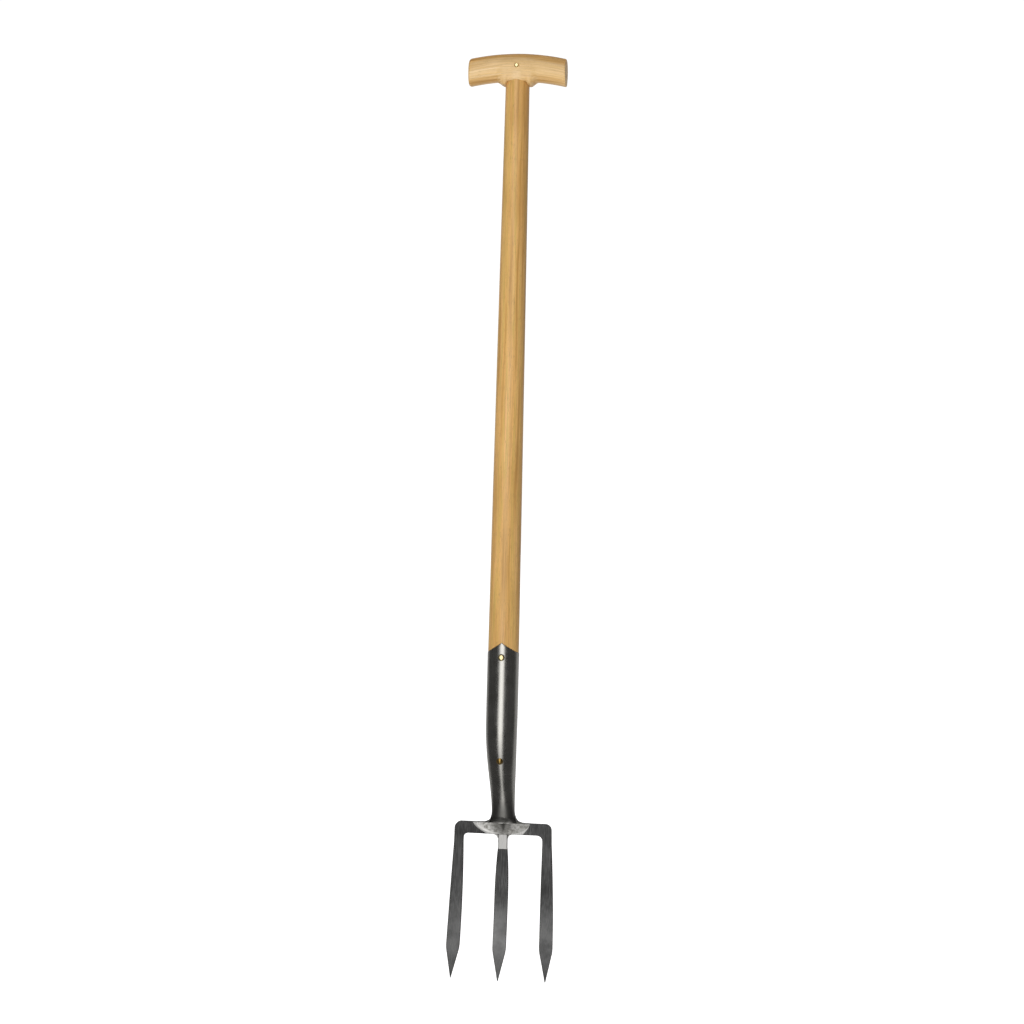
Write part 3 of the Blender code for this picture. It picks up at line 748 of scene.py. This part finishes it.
def pad_mesh(side):
    """The ground metal over the joint, on the crossbar's front where side is -1, or on its back."""
    rings = []
    for turn in spaced(-math.pi / 2, math.pi / 2, 97):
        x = PAD_HALF_WIDTH * math.sin(turn)
        face = bar_half_thickness(x)
        lip = PAD_LIP[0] * max(1 - (x / PAD_LIP[1]) ** 2, 0.0)
        drops = spaced(-lip, max(PAD_DEPTH * math.cos(turn), PAD_SKIN), 33)
        outside = [head_point(x, drop, side * (face + pad_lift(x, drop))) for drop in drops]
        inside = [head_point(x, drop, side * (face - PAD_ROOT)) for drop in reversed(drops)]
        rings.append(outside + inside)
    return loft(rings)


def tine_weld_mesh(side):
    """The fillet in the corner between the crossbar's lower edge and the centre tine's root."""
    corner = Vector((NECK_HALF_WIDTH + GAP, BAR_HEIGHT + GAP))
    reach = TINE_WELD_RADIUS + WELD_EDGE
    rings = []
    for t in spaced(0.0, 1.0, 25):
        turn = math.pi / 2 * t
        across = reach - TINE_WELD_RADIUS * math.sin(turn)
        down = reach - TINE_WELD_RADIUS * math.cos(turn)
        outer = corner + Vector((across, down))
        if t < 0.5:
            inner = corner + Vector((mix(reach * WELD_TOE_SHARE, 0, t * 2), 0))
        else:
            inner = corner + Vector((0, mix(0, reach * WELD_TOE_SHARE, t * 2 - 1)))
        edges = (side * outer.x, outer.y), (side * inner.x, inner.y)
        rings.append(head_ring(*edges, TINE_WELD_HALF_THICKNESS, TINE_WELD_ROUNDING))
    return loft(rings)


# ---- materials


def grey(value):
    return (value, value, value)


WHITE = (1, 1, 1)

# Tones: colours at places from 0 to 1 in a texture. Shades multiply another tone
SHAFT_TONES = [
    (0.28, (0.50, 0.270, 0.072)),
    (0.42, (0.63, 0.360, 0.108)),
    (0.50, (0.73, 0.425, 0.150)),
    (0.60, (0.64, 0.410, 0.116)),
    (0.74, (0.80, 0.470, 0.190)),
]
GRIP_TONES = [
    (0.28, (0.50, 0.270, 0.068)),
    (0.42, (0.66, 0.415, 0.155)),
    (0.52, (0.76, 0.525, 0.260)),
    (0.62, (0.70, 0.460, 0.185)),
    (0.74, (0.84, 0.625, 0.370)),
]
LINE_SHADES = [(0.30, (0.74, 0.69, 0.62)), (0.52, WHITE), (0.75, (1.08, 1.08, 1.07))]
BOARD_SHADES = [(0.32, (0.80, 0.73, 0.62)), (0.52, WHITE), (0.72, (1.08, 1.07, 1.05))]
SHAFT_PORES = (0.36, 0.21, 0.075)
GRIP_PORES = (0.48, 0.30, 0.11)
SOCKET_TONES = [(0.30, (0.42, 0.41, 0.385)), (0.62, (0.50, 0.49, 0.465)), (0.80, (0.55, 0.54, 0.52))]
DRAWN_SHADES = [(0.25, (0.80, 0.80, 0.78)), (0.55, WHITE), (0.8, grey(1.10))]
LACQUER_TONES = [(0.28, grey(0.014)), (0.5, grey(0.045)), (0.74, (0.110, 0.110, 0.109))]
LACQUER_SHADES = [(0.32, grey(0.62)), (0.50, WHITE), (0.70, grey(1.40))]
# painted sheen lower down the tines, where their forward curve mirrors the light
TINE_SHEEN_TONE = grey(0.19)
BRUSHED_TONES = [(0.3, (0.26, 0.258, 0.252)), (0.7, (0.54, 0.535, 0.525))]
GROUND_TONES = [(0.32, (0.34, 0.336, 0.325)), (0.5, (0.52, 0.515, 0.50)), (0.68, (0.66, 0.65, 0.63))]
GROUND_SHADES = [(0.38, (0.30, 0.29, 0.27)), (0.50, (0.90, 0.90, 0.89)), (0.62, grey(1.35))]
CLIMBING_TONE = (0.40, 0.395, 0.38)  # of the ground metal on the socket's foot
FOOT_SHADE_TINT = (0.150, 0.149, 0.141)  # of the socket's foot beside the weld: painted shade, where the tube turns under to the crossbar
# painted shade on the pad near the socket's foot; also the tone of the darker fillets and right side
PAD_SHADE_AND_DARK_TONE = (0.085, 0.083, 0.077)
# painted highlight along the pad's left edge
RIM_HIGHLIGHT_TONE = (0.78, 0.77, 0.75)
# painted shade in the hollow where the socket's foot meets the crossbar
HOLLOW_SHADE_TONE = (0.020, 0.020, 0.018)
BRIGHT_BRASS = [(0.30, (0.74, 0.58, 0.27)), (0.55, (0.90, 0.76, 0.42)), (0.8, (0.94, 0.84, 0.54))]
# painted light: a paler, warmer copy of the rivets' brass, for the pin
LIT_SATIN_BRASS = [(0.30, (0.88, 0.69, 0.32)), (0.55, (0.96, 0.81, 0.43)), (0.8, (0.99, 0.89, 0.56))]
# painted shade: a darker copy of the rivets' brass, for the lower rivet, whose head faces down
SHADED_BRASS = [(0.30, (0.26, 0.16, 0.045)), (0.55, (0.46, 0.31, 0.10)), (0.8, (0.62, 0.45, 0.18))]
FLOOR_TONES = [(0.3, grey(0.80)), (0.7, grey(0.84))]

# Grain: noise per metre across it, and its stretch along it as a share of that
SHAFT_STREAKS = 230.0
GRIP_STREAKS = 260.0
STREAK_STRETCH = 0.022
BOARDS = 26.0
BOARD_STRETCH = 0.25
PORES = 2600.0
PORE_STRETCH = 0.045

# Fades: where each starts and ends and, where they aren't 0 and 1, the shares there
# painted shade along the grip's top and along its underside
TOP_SHADE_BAND = (GRIP_TOP - 0.0115, GRIP_TOP - 0.0025)
UNDERSIDE_SHADE_BAND = (GRIP_UNDERSIDE + 0.0110, GRIP_UNDERSIDE + 0.0020)
# painted highlight on the collar below the pin
COLLAR_HIGHLIGHT_SIDES = (0.0080, 0.0020)
COLLAR_HIGHLIGHT_BELOW = (PIN_HEIGHT - 0.0030, PIN_HEIGHT - 0.0080, 0.0, 0.35)
# painted shade on the socket's foot
SOCKET_FOOT_SHADE = (0.2180, 0.2420, 0.80, 0.0)
FOOT_CLIMB = (BAR_TOP + 0.0048, BAR_TOP + 0.0022, 0.0, 0.75)  # of ground metal up the socket's foot
TINE_SHEEN_BELOW = (0.006, 0.052, 0.20, 1.0)  # heights on the tines
TINE_SHEEN_ABOVE = (0.118, 0.056)
TINE_SHEEN_CENTRE = (0.03, 0.02, 0.50, 1.0)  # stronger on the centre tine
PAD_FOOT_SHADE = (0.0270, 0.0080, 0.0, 0.90)  # distances from the middle of the socket's foot, for the painted shade there
FILLET_DARKENING = (-0.0010, 0.0008, 0.0, 0.92)  # heights over the crossbar, where the fillets are darker
RIGHT_DARKENING = (0.006, 0.016, 0.0, 0.60)
# painted highlight along the pad's outer edge, on the left
RIM = (0.62, 0.86)
RIM_HIGHLIGHT_LEFT = (0.004, -0.010, 0.0, 0.8)
# painted shade in the hollow
HOLLOW_SHADE_SIDES = (0.0062, 0.0018)
HOLLOW_SHADE_TOP = (-0.0005, -0.0030, 0.0, 0.75)
HOLLOW_SHADE_LEAN = -0.45  # how its sides close in on the way down


class Graph:
    """Shorthand for the nodes of a material, or of the world."""

    def __init__(self, owner):
        self.owner = owner
        self.tree = owner.node_tree
        self.coordinates = self.node("ShaderNodeTexCoord").outputs
        self.place = self.coordinates["Object"]

    def node(self, kind, settings=None, inputs=None):
        made = self.tree.nodes.new(kind)
        for name, value in (settings or {}).items():
            setattr(made, name, value)
        for name, value in (inputs or {}).items():
            if isinstance(value, bpy.types.NodeSocket):
                self.tree.links.new(value, made.inputs[name])
            else:
                made.inputs[name].default_value = value
        return made

    def math(self, operation, *values):
        inputs = dict(enumerate(values))
        return self.node("ShaderNodeMath", {"operation": operation}, inputs).outputs[0]

    def plus(self, a, b):
        return self.math("ADD", a, b)

    def times(self, a, b):
        return self.math("MULTIPLY", a, b)

    def ragged(self, value, texture, depth):
        """The value, moved by a texture by up to half the depth either way."""
        return self.plus(value, self.times(self.math("SUBTRACT", texture, 0.5), depth))

    def split(self, vector):
        made = self.node("ShaderNodeSeparateXYZ", None, {"Vector": vector})
        return made.outputs["X"], made.outputs["Y"], made.outputs["Z"]

    def join(self, x, y, z):
        return self.node("ShaderNodeCombineXYZ", None, {"X": x, "Y": y, "Z": z}).outputs[0]

    def noise(self, vector, scale, detail=2.0, roughness=0.5, distortion=0.0):
        inputs = {"Vector": vector, "Scale": scale, "Detail": detail}
        inputs.update({"Roughness": roughness, "Distortion": distortion})
        return self.node("ShaderNodeTexNoise", None, inputs).outputs["Fac"]

    def ramp(self, value, stops):
        """Colours at places from 0 to 1, with a blend between them."""
        made = self.node("ShaderNodeValToRGB", None, {"Fac": value})
        elements = made.color_ramp.elements
        while len(elements) < len(stops):
            elements.new(0.5)
        for element, (place, colour) in zip(elements, stops):
            element.position = place
            element.color = (*colour, 1.0)
        return made.outputs["Color"]

    def span(self, value, start, end, low=0.0, high=1.0):
        """low where value is at start, high where it is at end, and a smooth step between."""
        settings = {"interpolation_type": "SMOOTHSTEP"}
        inputs = {"Value": value, "From Min": start, "From Max": end, "To Min": low, "To Max": high}
        return self.node("ShaderNodeMapRange", settings, inputs).outputs["Result"]

    def mixed(self, factor, a, b, blend="MIX"):
        """Two colours mixed. Sockets 6 and 7 of the node take colours, and output 2 gives one."""
        made = self.node("ShaderNodeMix", {"data_type": "RGBA", "blend_type": blend})
        for index, value in ((0, factor), (6, a), (7, b)):
            if isinstance(value, bpy.types.NodeSocket):
                self.tree.links.new(value, made.inputs[index])
            elif index:
                made.inputs[index].default_value = (*value, 1.0)
            else:
                made.inputs[index].default_value = value
        return made.outputs[2]

    def bump(self, height, distance, strength):
        inputs = {"Height": height, "Distance": distance, "Strength": strength}
        return self.node("ShaderNodeBump", None, inputs).outputs["Normal"]

    def shade(self, **inputs):
        """Feeds a material's shader: names with _ for a space."""
        shader = self.tree.nodes["Principled BSDF"]
        for name, value in inputs.items():
            socket = shader.inputs[name.replace("_", " ")]
            if isinstance(value, bpy.types.NodeSocket):
                self.tree.links.new(value, socket)
            else:
                socket.default_value = value


def material_graph(name):
    material = bpy.data.materials.new(name)
    material.use_nodes = True
    return Graph(material)


def ash(name, grain, tones, pore_tone, streak_scale, figure=None):
    """Oiled ash. grain is a function from a Graph to coordinates whose Z runs along the grain.

    figure is a function from a Graph and its colour to the colour with the piece's own figure.
    """
    g = material_graph(name)
    x, y, along = g.split(grain(g))
    lengthwise = g.join(x, y, g.times(along, STREAK_STRETCH))
    broad = g.noise(lengthwise, streak_scale, 2.0, 0.5, 0.3)
    fine = g.noise(lengthwise, streak_scale * 4.5, 3.0, 0.6)
    boards = g.noise(g.join(x, y, g.times(along, BOARD_STRETCH)), BOARDS, 2.0)
    pores = g.noise(g.join(x, y, g.times(along, PORE_STRETCH)), PORES, 2.0, 0.6)
    colour = g.mixed(0.75, g.ramp(broad, tones), g.ramp(fine, LINE_SHADES), "MULTIPLY")
    colour = g.mixed(0.8, colour, g.ramp(boards, BOARD_SHADES), "MULTIPLY")
    if figure:
        colour = figure(g, colour)
    between_pores = g.span(pores, 0.30, 0.40)
    colour = g.mixed(g.math("SUBTRACT", 1.0, between_pores), colour, pore_tone)
    height = g.plus(g.times(between_pores, 0.5), g.times(fine, 0.5))
    g.shade(
        Base_Color=colour,
        Roughness=g.span(fine, 0.3, 0.7, 0.36, 0.50),
        Normal=g.bump(height, 0.00006, 0.6),
        Specular_IOR_Level=0.45,
        Coat_Weight=0.12,
        Coat_Roughness=0.32,
    )
    return g.owner


def shaft_grain(g):
    return g.place


def grip_grain(g):
    """Along X, arched as the grip is, and in layers that go deep."""
    x, y, z = g.split(g.place)
    arch = g.times(g.times(x, x), GRIP_TOP_FALL / GRIP_HALF_LENGTH**2)
    return g.join(g.plus(z, arch), g.times(y, 0.3), x)


def grip_figure(g, colour):
    """Painted shade along the grip's top, darker and warmer, painted shade along its underside, and a
    painted highlight below the pin.
    """
    level, y, x = g.split(grip_grain(g))
    ripple = g.noise(g.join(level, y, g.times(x, 0.08)), 120.0, 2.0)
    level = g.ragged(level, ripple, 0.008)
    # painted shade along the top, darker and warmer
    colour = g.mixed(g.span(level, *TOP_SHADE_BAND), colour, TOP_SHADE_TINT, "MULTIPLY")
    # painted shade along the underside
    colour = g.mixed(g.span(level, *UNDERSIDE_SHADE_BAND), colour, UNDERSIDE_SHADE_TINT, "MULTIPLY")
    # painted highlight on the collar below the pin
    collar_highlight = g.times(g.span(g.math("ABSOLUTE", x), *COLLAR_HIGHLIGHT_SIDES), g.span(level, *COLLAR_HIGHLIGHT_BELOW))
    return g.mixed(collar_highlight, colour, COLLAR_HIGHLIGHT_TONE)


def socket_steel():
    """Drawn steel tube, polished, with painted shade darkening its foot, and ground bright beside the pad.
    """
    g = material_graph("socket_steel_fine")
    x, y, z = g.split(g.place)
    drawn = g.noise(g.join(x, y, g.times(z, 0.03)), 900.0, 3.0, 0.6)
    cloud = g.noise(g.place, 45.0, 3.0, 0.55)
    colour = g.mixed(0.8, g.ramp(cloud, SOCKET_TONES), g.ramp(drawn, DRAWN_SHADES), "MULTIPLY")
    # painted shade on the foot, where the tube turns under; it also makes it rougher
    shade_and_darkening = g.span(g.ragged(z, cloud, 0.010), *SOCKET_FOOT_SHADE)
    colour = g.mixed(shade_and_darkening, colour, FOOT_SHADE_TINT)
    weld = g.noise(g.join(g.times(x, 0.6), y, z), 210.0, 4.0, 0.65)
    ground = g.span(g.ragged(z, weld, -0.034), *FOOT_CLIMB)
    colour = g.mixed(ground, colour, CLIMBING_TONE)
    roughness = g.plus(g.span(drawn, 0.3, 0.7, 0.20, 0.28), g.span(cloud, 0.35, 0.70, 0.0, 0.06))
    roughness = g.plus(roughness, g.times(shade_and_darkening, 0.22))
    g.shade(
        Base_Color=colour,
        Metallic=1.0,
        Roughness=roughness,
        Normal=g.bump(drawn, 0.00001, 0.4),
    )
    return g.owner


def ground_area(g):
    """1 where the joint of crossbar, socket and centre tine is ground bright, and 0 elsewhere."""
    x, _, z = g.split(g.place)
    drop = g.math("SUBTRACT", BAR_TOP, z)
    share = g.math("MAXIMUM", g.math("DIVIDE", drop, BAR_HEIGHT), 0.0)
    on_left = g.math("LESS_THAN", x, 0.0)
    top_reach = g.math("MULTIPLY_ADD", on_left, FAN_REACH[0] - FAN_REACH[1], FAN_REACH[1])
    narrowing = g.math("MULTIPLY_ADD", on_left, FAN_NARROWING[0] - FAN_NARROWING[1], FAN_NARROWING[1])
    reach = g.math("SUBTRACT", top_reach, g.times(narrowing, g.math("POWER", share, 1.5)))
    inside = g.math("SUBTRACT", reach, g.math("ABSOLUTE", x))
    fan = g.span(g.ragged(inside, g.noise(g.place, 300.0), 0.0010), -0.0005, 0.0006)
    on_bar = g.times(fan, g.math("LESS_THAN", drop, BAR_HEIGHT + GAP / 2))
    below_bar = g.math("GREATER_THAN", drop, BAR_HEIGHT - GAP / 2)
    near_middle = g.math("LESS_THAN", g.math("ABSOLUTE", x), BAR_HEIGHT)
    above_line = g.span(drop, GROUND_END - 0.00005, GROUND_END - 0.00025)
    on_tine = g.times(g.times(below_bar, near_middle), above_line)
    return g.math("MAXIMUM", on_bar, on_tine)


def tine_steel():
    """Dark lacquered steel, brushed lengthwise, with a painted sheen above the tips, and ground bright at
    the joint.
    """
    g = material_graph("tine_steel_fine")
    x, y, z = g.split(g.place)
    ground = ground_area(g)
    brushed = g.noise(g.join(x, y, g.times(z, 0.035)), 1100.0, 3.0, 0.65)
    cloud = g.noise(g.place, 38.0, 3.0, 0.6)
    dark = g.mixed(0.9, g.ramp(brushed, LACQUER_TONES), g.ramp(cloud, LACQUER_SHADES), "MULTIPLY")
    # painted sheen lower down the tines
    tine_sheen = g.math("MINIMUM", g.span(z, *TINE_SHEEN_BELOW), g.span(z, *TINE_SHEEN_ABOVE))
    centred = g.span(g.math("ABSOLUTE", x), *TINE_SHEEN_CENTRE)
    tine_sheen = g.times(g.times(tine_sheen, centred), g.span(cloud, 0.30, 0.60, 0.5, 1.0))
    dark = g.mixed(tine_sheen, dark, TINE_SHEEN_TONE)
    bright = g.ramp(brushed, BRUSHED_TONES)
    g.shade(
        Base_Color=g.mixed(ground, dark, bright),
        Metallic=g.span(ground, 0.0, 1.0, 0.55, 1.0),
        Roughness=g.plus(g.span(brushed, 0.3, 0.7, 0.38, 0.50), g.times(ground, -0.05)),
        Normal=g.bump(brushed, 0.00004, 0.6),
        Specular_IOR_Level=0.4,
    )
    return g.owner


def ground_steel():
    """Ground steel with a painted highlight along its left edge, painted shade near the socket and in the
    hollow, and darker on the right and on the fillets.
    """
    g = material_graph("ground_steel_fine")
    x, y, z = g.split(g.place)
    scratches = g.noise(g.join(g.times(x, 0.12), y, z), 1300.0, 3.0, 0.65)
    cloud = g.noise(g.place, 190.0, 4.0, 0.65)
    colour = g.mixed(0.9, g.ramp(scratches, GROUND_TONES), g.ramp(cloud, GROUND_SHADES), "MULTIPLY")
    rise = g.math("SUBTRACT", z, BAR_TOP)
    squares = g.plus(g.times(x, x), g.times(rise, rise))
    distance = g.ragged(g.math("SQRT", squares), cloud, 0.006)
    across = g.math("POWER", g.math("DIVIDE", x, PAD_HALF_WIDTH), 2.0)
    down = g.math("POWER", g.math("DIVIDE", rise, PAD_DEPTH), 2.0)
    # painted highlight along the pad's outer edge, on the left
    rim_highlight = g.times(g.span(g.plus(across, down), *RIM), g.span(x, *RIM_HIGHLIGHT_LEFT))
    colour = g.mixed(rim_highlight, colour, RIM_HIGHLIGHT_TONE)
    # painted shade near the socket's foot, where it meets the crossbar; also darker on the fillets and on
    # the right
    shade_and_darkening = g.math("MAXIMUM", g.span(distance, *PAD_FOOT_SHADE), g.span(rise, *FILLET_DARKENING))
    shade_and_darkening = g.math("MAXIMUM", shade_and_darkening, g.span(x, *RIGHT_DARKENING))
    # painted shade in the hollow, over its shallow dip
    narrowing = g.math("MULTIPLY_ADD", rise, HOLLOW_SHADE_LEAN, g.math("ABSOLUTE", x))
    hollow_shade = g.times(g.span(narrowing, *HOLLOW_SHADE_SIDES), g.span(rise, *HOLLOW_SHADE_TOP))
    g.shade(
        Base_Color=g.mixed(hollow_shade, g.mixed(shade_and_darkening, colour, PAD_SHADE_AND_DARK_TONE), HOLLOW_SHADE_TONE),
        Metallic=1.0,
        Roughness=g.span(cloud, 0.3, 0.7, 0.30, 0.42),
        Normal=g.bump(scratches, 0.00006, 0.8),
    )
    return g.owner


def brass(name, tones, roughness):
    g = material_graph(name)
    cloud = g.noise(g.place, 420.0, 3.0, 0.6)
    g.shade(
        Base_Color=g.ramp(cloud, tones),
        Metallic=1.0,
        Roughness=g.span(cloud, 0.3, 0.7, *roughness),
        Normal=g.bump(cloud, 0.00004, 0.4),
    )
    return g.owner


# ---- studio


def add_camera():
    up = Vector((0, 0, 1))
    camera_right = VIEW_RIGHT * math.cos(VIEW_ROLL) + up * math.sin(VIEW_ROLL)
    camera_up = up * math.cos(VIEW_ROLL) - VIEW_RIGHT * math.sin(VIEW_ROLL)
    data = bpy.data.cameras.new("camera")
    data.sensor_width = SENSOR_WIDTH
    data.lens = SENSOR_WIDTH * VIEW_DISTANCE / FRAME_WIDTH
    camera = bpy.data.objects.new("camera", data)
    bpy.context.scene.collection.objects.link(camera)
    target = Vector((0, AXIS_Y, VIEW_HEIGHT)) + camera_right * VIEW_SHIFT
    turn = Matrix((camera_right, camera_up, -VIEW_AHEAD)).transposed()
    camera.matrix_world = Matrix.Translation(target - VIEW_AHEAD * VIEW_DISTANCE) @ turn.to_4x4()
    bpy.context.scene.camera = camera


def add_light(name, azimuth, elevation, distance, size, power):
    """A soft box that steel doesn't mirror. Azimuth 0 is in front and 90 on the right."""
    a = math.radians(azimuth)
    e = math.radians(elevation)
    data = bpy.data.lights.new(name, "AREA")
    data.shape = "RECTANGLE"
    data.size, data.size_y = size
    data.energy = power
    light = bpy.data.objects.new(name, data)
    bpy.context.scene.collection.objects.link(light)
    towards = Vector((math.sin(a) * math.cos(e), -math.cos(a) * math.cos(e), math.sin(e)))
    light.location = LIGHTS_FACE + towards * distance
    light.rotation_euler = towards.to_track_quat("Z", "Y").to_euler()
    light.visible_camera = False
    light.visible_glossy = False


def add_world():
    """White to look at. Steel mirrors a tall pale band in front of it and a dim wall behind.

    Matt surfaces also get the light that a pale floor would throw up.
    """
    world = bpy.data.worlds.new("studio")
    world.use_nodes = True
    world.node_tree.nodes.clear()
    bpy.context.scene.world = world
    g = Graph(world)

    def along(axis):
        inputs = {0: g.coordinates["Generated"], 1: axis}
        return g.node("ShaderNodeVectorMath", {"operation": "DOT_PRODUCT"}, inputs).outputs["Value"]

    def background(colour, level):
        return g.node("ShaderNodeBackground", None, {"Color": colour, "Strength": level}).outputs[0]

    azimuth = g.math("ARCTAN2", along(VIEW_RIGHT), along(-VIEW_AHEAD))
    angle = g.math("ABSOLUTE", g.plus(azimuth, -BAND_AZIMUTH))
    rise = g.math("ARCSINE", along((0, 0, 1)))
    tall = g.times(g.span(rise, *BAND_FOOT), g.span(rise, *BAND_HEAD))
    band = g.times(g.times(g.span(angle, *BAND_SIDES), tall), BAND_LEVEL)
    wall = g.times(g.span(angle, *WALL_SIDES), WALL_LEVEL)
    level = g.plus(g.plus(band, wall), ROOM_LEVEL)
    rays = g.node("ShaderNodeLightPath").outputs
    level = g.plus(level, g.times(rays["Is Diffuse Ray"], g.span(rise, *FLOOR_BOUNCE)))
    mirrored = background((1, 0.995, 0.985, 1), level)
    seen = background((1, 1, 1, 1), BACKDROP_LEVEL)
    both = g.node("ShaderNodeMixShader", None, {0: rays["Is Camera Ray"], 1: mirrored, 2: seen})
    g.node("ShaderNodeOutputWorld", None, {"Surface": both.outputs[0]})


def add_floor():
    """A pale round floor, which throws no light up at the fork."""
    mesh = bmesh.new()
    bmesh.ops.create_circle(mesh, cap_ends=True, segments=96, radius=FLOOR_RADIUS)
    floor = add_object("floor", mesh, (0, 0, -FLOOR_DROP))
    g = material_graph("floor_white")
    tone = g.noise(g.place, 0.8, 2.0)
    g.shade(
        Base_Color=g.ramp(tone, FLOOR_TONES),
        Roughness=0.9,
        Emission_Color=(1, 1, 1, 1),
        Emission_Strength=FLOOR_GLOW,
    )
    floor.data.materials.append(g.owner)
    floor.visible_glossy = False
    floor.visible_diffuse = False


# ---- assembly


def build():
    shaft_ash = ash("shaft_ash_fine", shaft_grain, SHAFT_TONES, SHAFT_PORES, SHAFT_STREAKS)
    grip_ash = ash("grip_ash_fine", grip_grain, GRIP_TONES, GRIP_PORES, GRIP_STREAKS, grip_figure)
    socket_metal = socket_steel()
    tine_metal = tine_steel()
    ground_metal = ground_steel()
    bright_brass = brass("bright_brass_fine", BRIGHT_BRASS, (0.26, 0.38))
    lit_satin_brass = brass("satin_brass_fine", LIT_SATIN_BRASS, (0.28, 0.38))
    shaded_brass = brass("dull_brass_fine", SHADED_BRASS, (0.26, 0.38))

    grip = add_object("grip_piece", grip_mesh())
    shaft = add_object("shaft_piece", shaft_mesh())
    socket = add_object("socket_piece", socket_mesh())
    mortise = add_object("mortise", mortise_mesh())
    pin_at = (0, 0, PIN_HEIGHT)
    pin_hole = hole("pin_hole", PIN_RADIUS + PIN_ROOM, PIN_REACH * 2, pin_at)
    pin = add_object("grip_pin_piece", pin_mesh(), pin_at)
    rivet_holes = []
    for name, height in (("upper_rivet", UPPER_RIVET_HEIGHT), ("lower_rivet", LOWER_RIVET_HEIGHT)):
        setback, slope = crank(height)
        place = (0, setback, height)
        tilt = math.atan(slope)
        half_width = socket_half_width(height)
        rivet_holes.append(hole(name + "_hole", RIVET_RADIUS + GAP, half_width * 2, place, tilt))
        rivet = add_object(name + "_piece", rivet_mesh(half_width, RIVET_FLATNESS[name]), place, tilt)
        # the lower rivet gets the darker copy of the brass: painted shade
        finish_piece(rivet, bright_brass if name == "upper_rivet" else shaded_brass, "brass", name)
    cut(grip, mortise, pin_hole)
    cut(shaft, pin_hole, *rivet_holes)
    cut(socket, *rivet_holes)
    for cutter in [mortise, pin_hole, *rivet_holes]:
        bpy.data.objects.remove(cutter)
    finish_piece(grip, grip_ash, "grip_ash", "t_grip")
    finish_piece(shaft, shaft_ash, "shaft_ash", "shaft")
    finish_piece(socket, socket_metal, "socket_steel", "socket")
    # the pin gets the paler copy of the brass: painted light
    finish_piece(pin, lit_satin_brass, "brass", "grip_pin")

    yoke = add_object("fork_yoke_piece", yoke_mesh())
    finish_piece(yoke, tine_metal, "tine_steel", "fork_yoke")
    centre_tine = add_object("centre_tine_piece", centre_tine_mesh())
    finish_piece(centre_tine, tine_metal, "tine_steel", "centre_tine")
    for name, side in (("front", -1), ("back", 1)):
        pad = add_object(name + "_ground_pad", pad_mesh(side))
        finish_piece(pad, ground_metal, "ground_steel")
    for name, side in (("left", -1), ("right", 1)):
        foot_weld = add_object(name + "_foot_weld_piece", foot_weld_mesh(side))
        finish_piece(foot_weld, ground_metal, "ground_steel", name + "_foot_weld")
        tine_weld = add_object(name + "_tine_weld_piece", tine_weld_mesh(side))
        finish_piece(tine_weld, ground_metal, "ground_steel", name + "_tine_weld")


bpy.context.scene.view_settings.view_transform = "Standard"
build()
add_camera()
add_world()
for light_name, light_setting in LIGHTS.items():
    add_light(light_name, *light_setting)
add_floor()
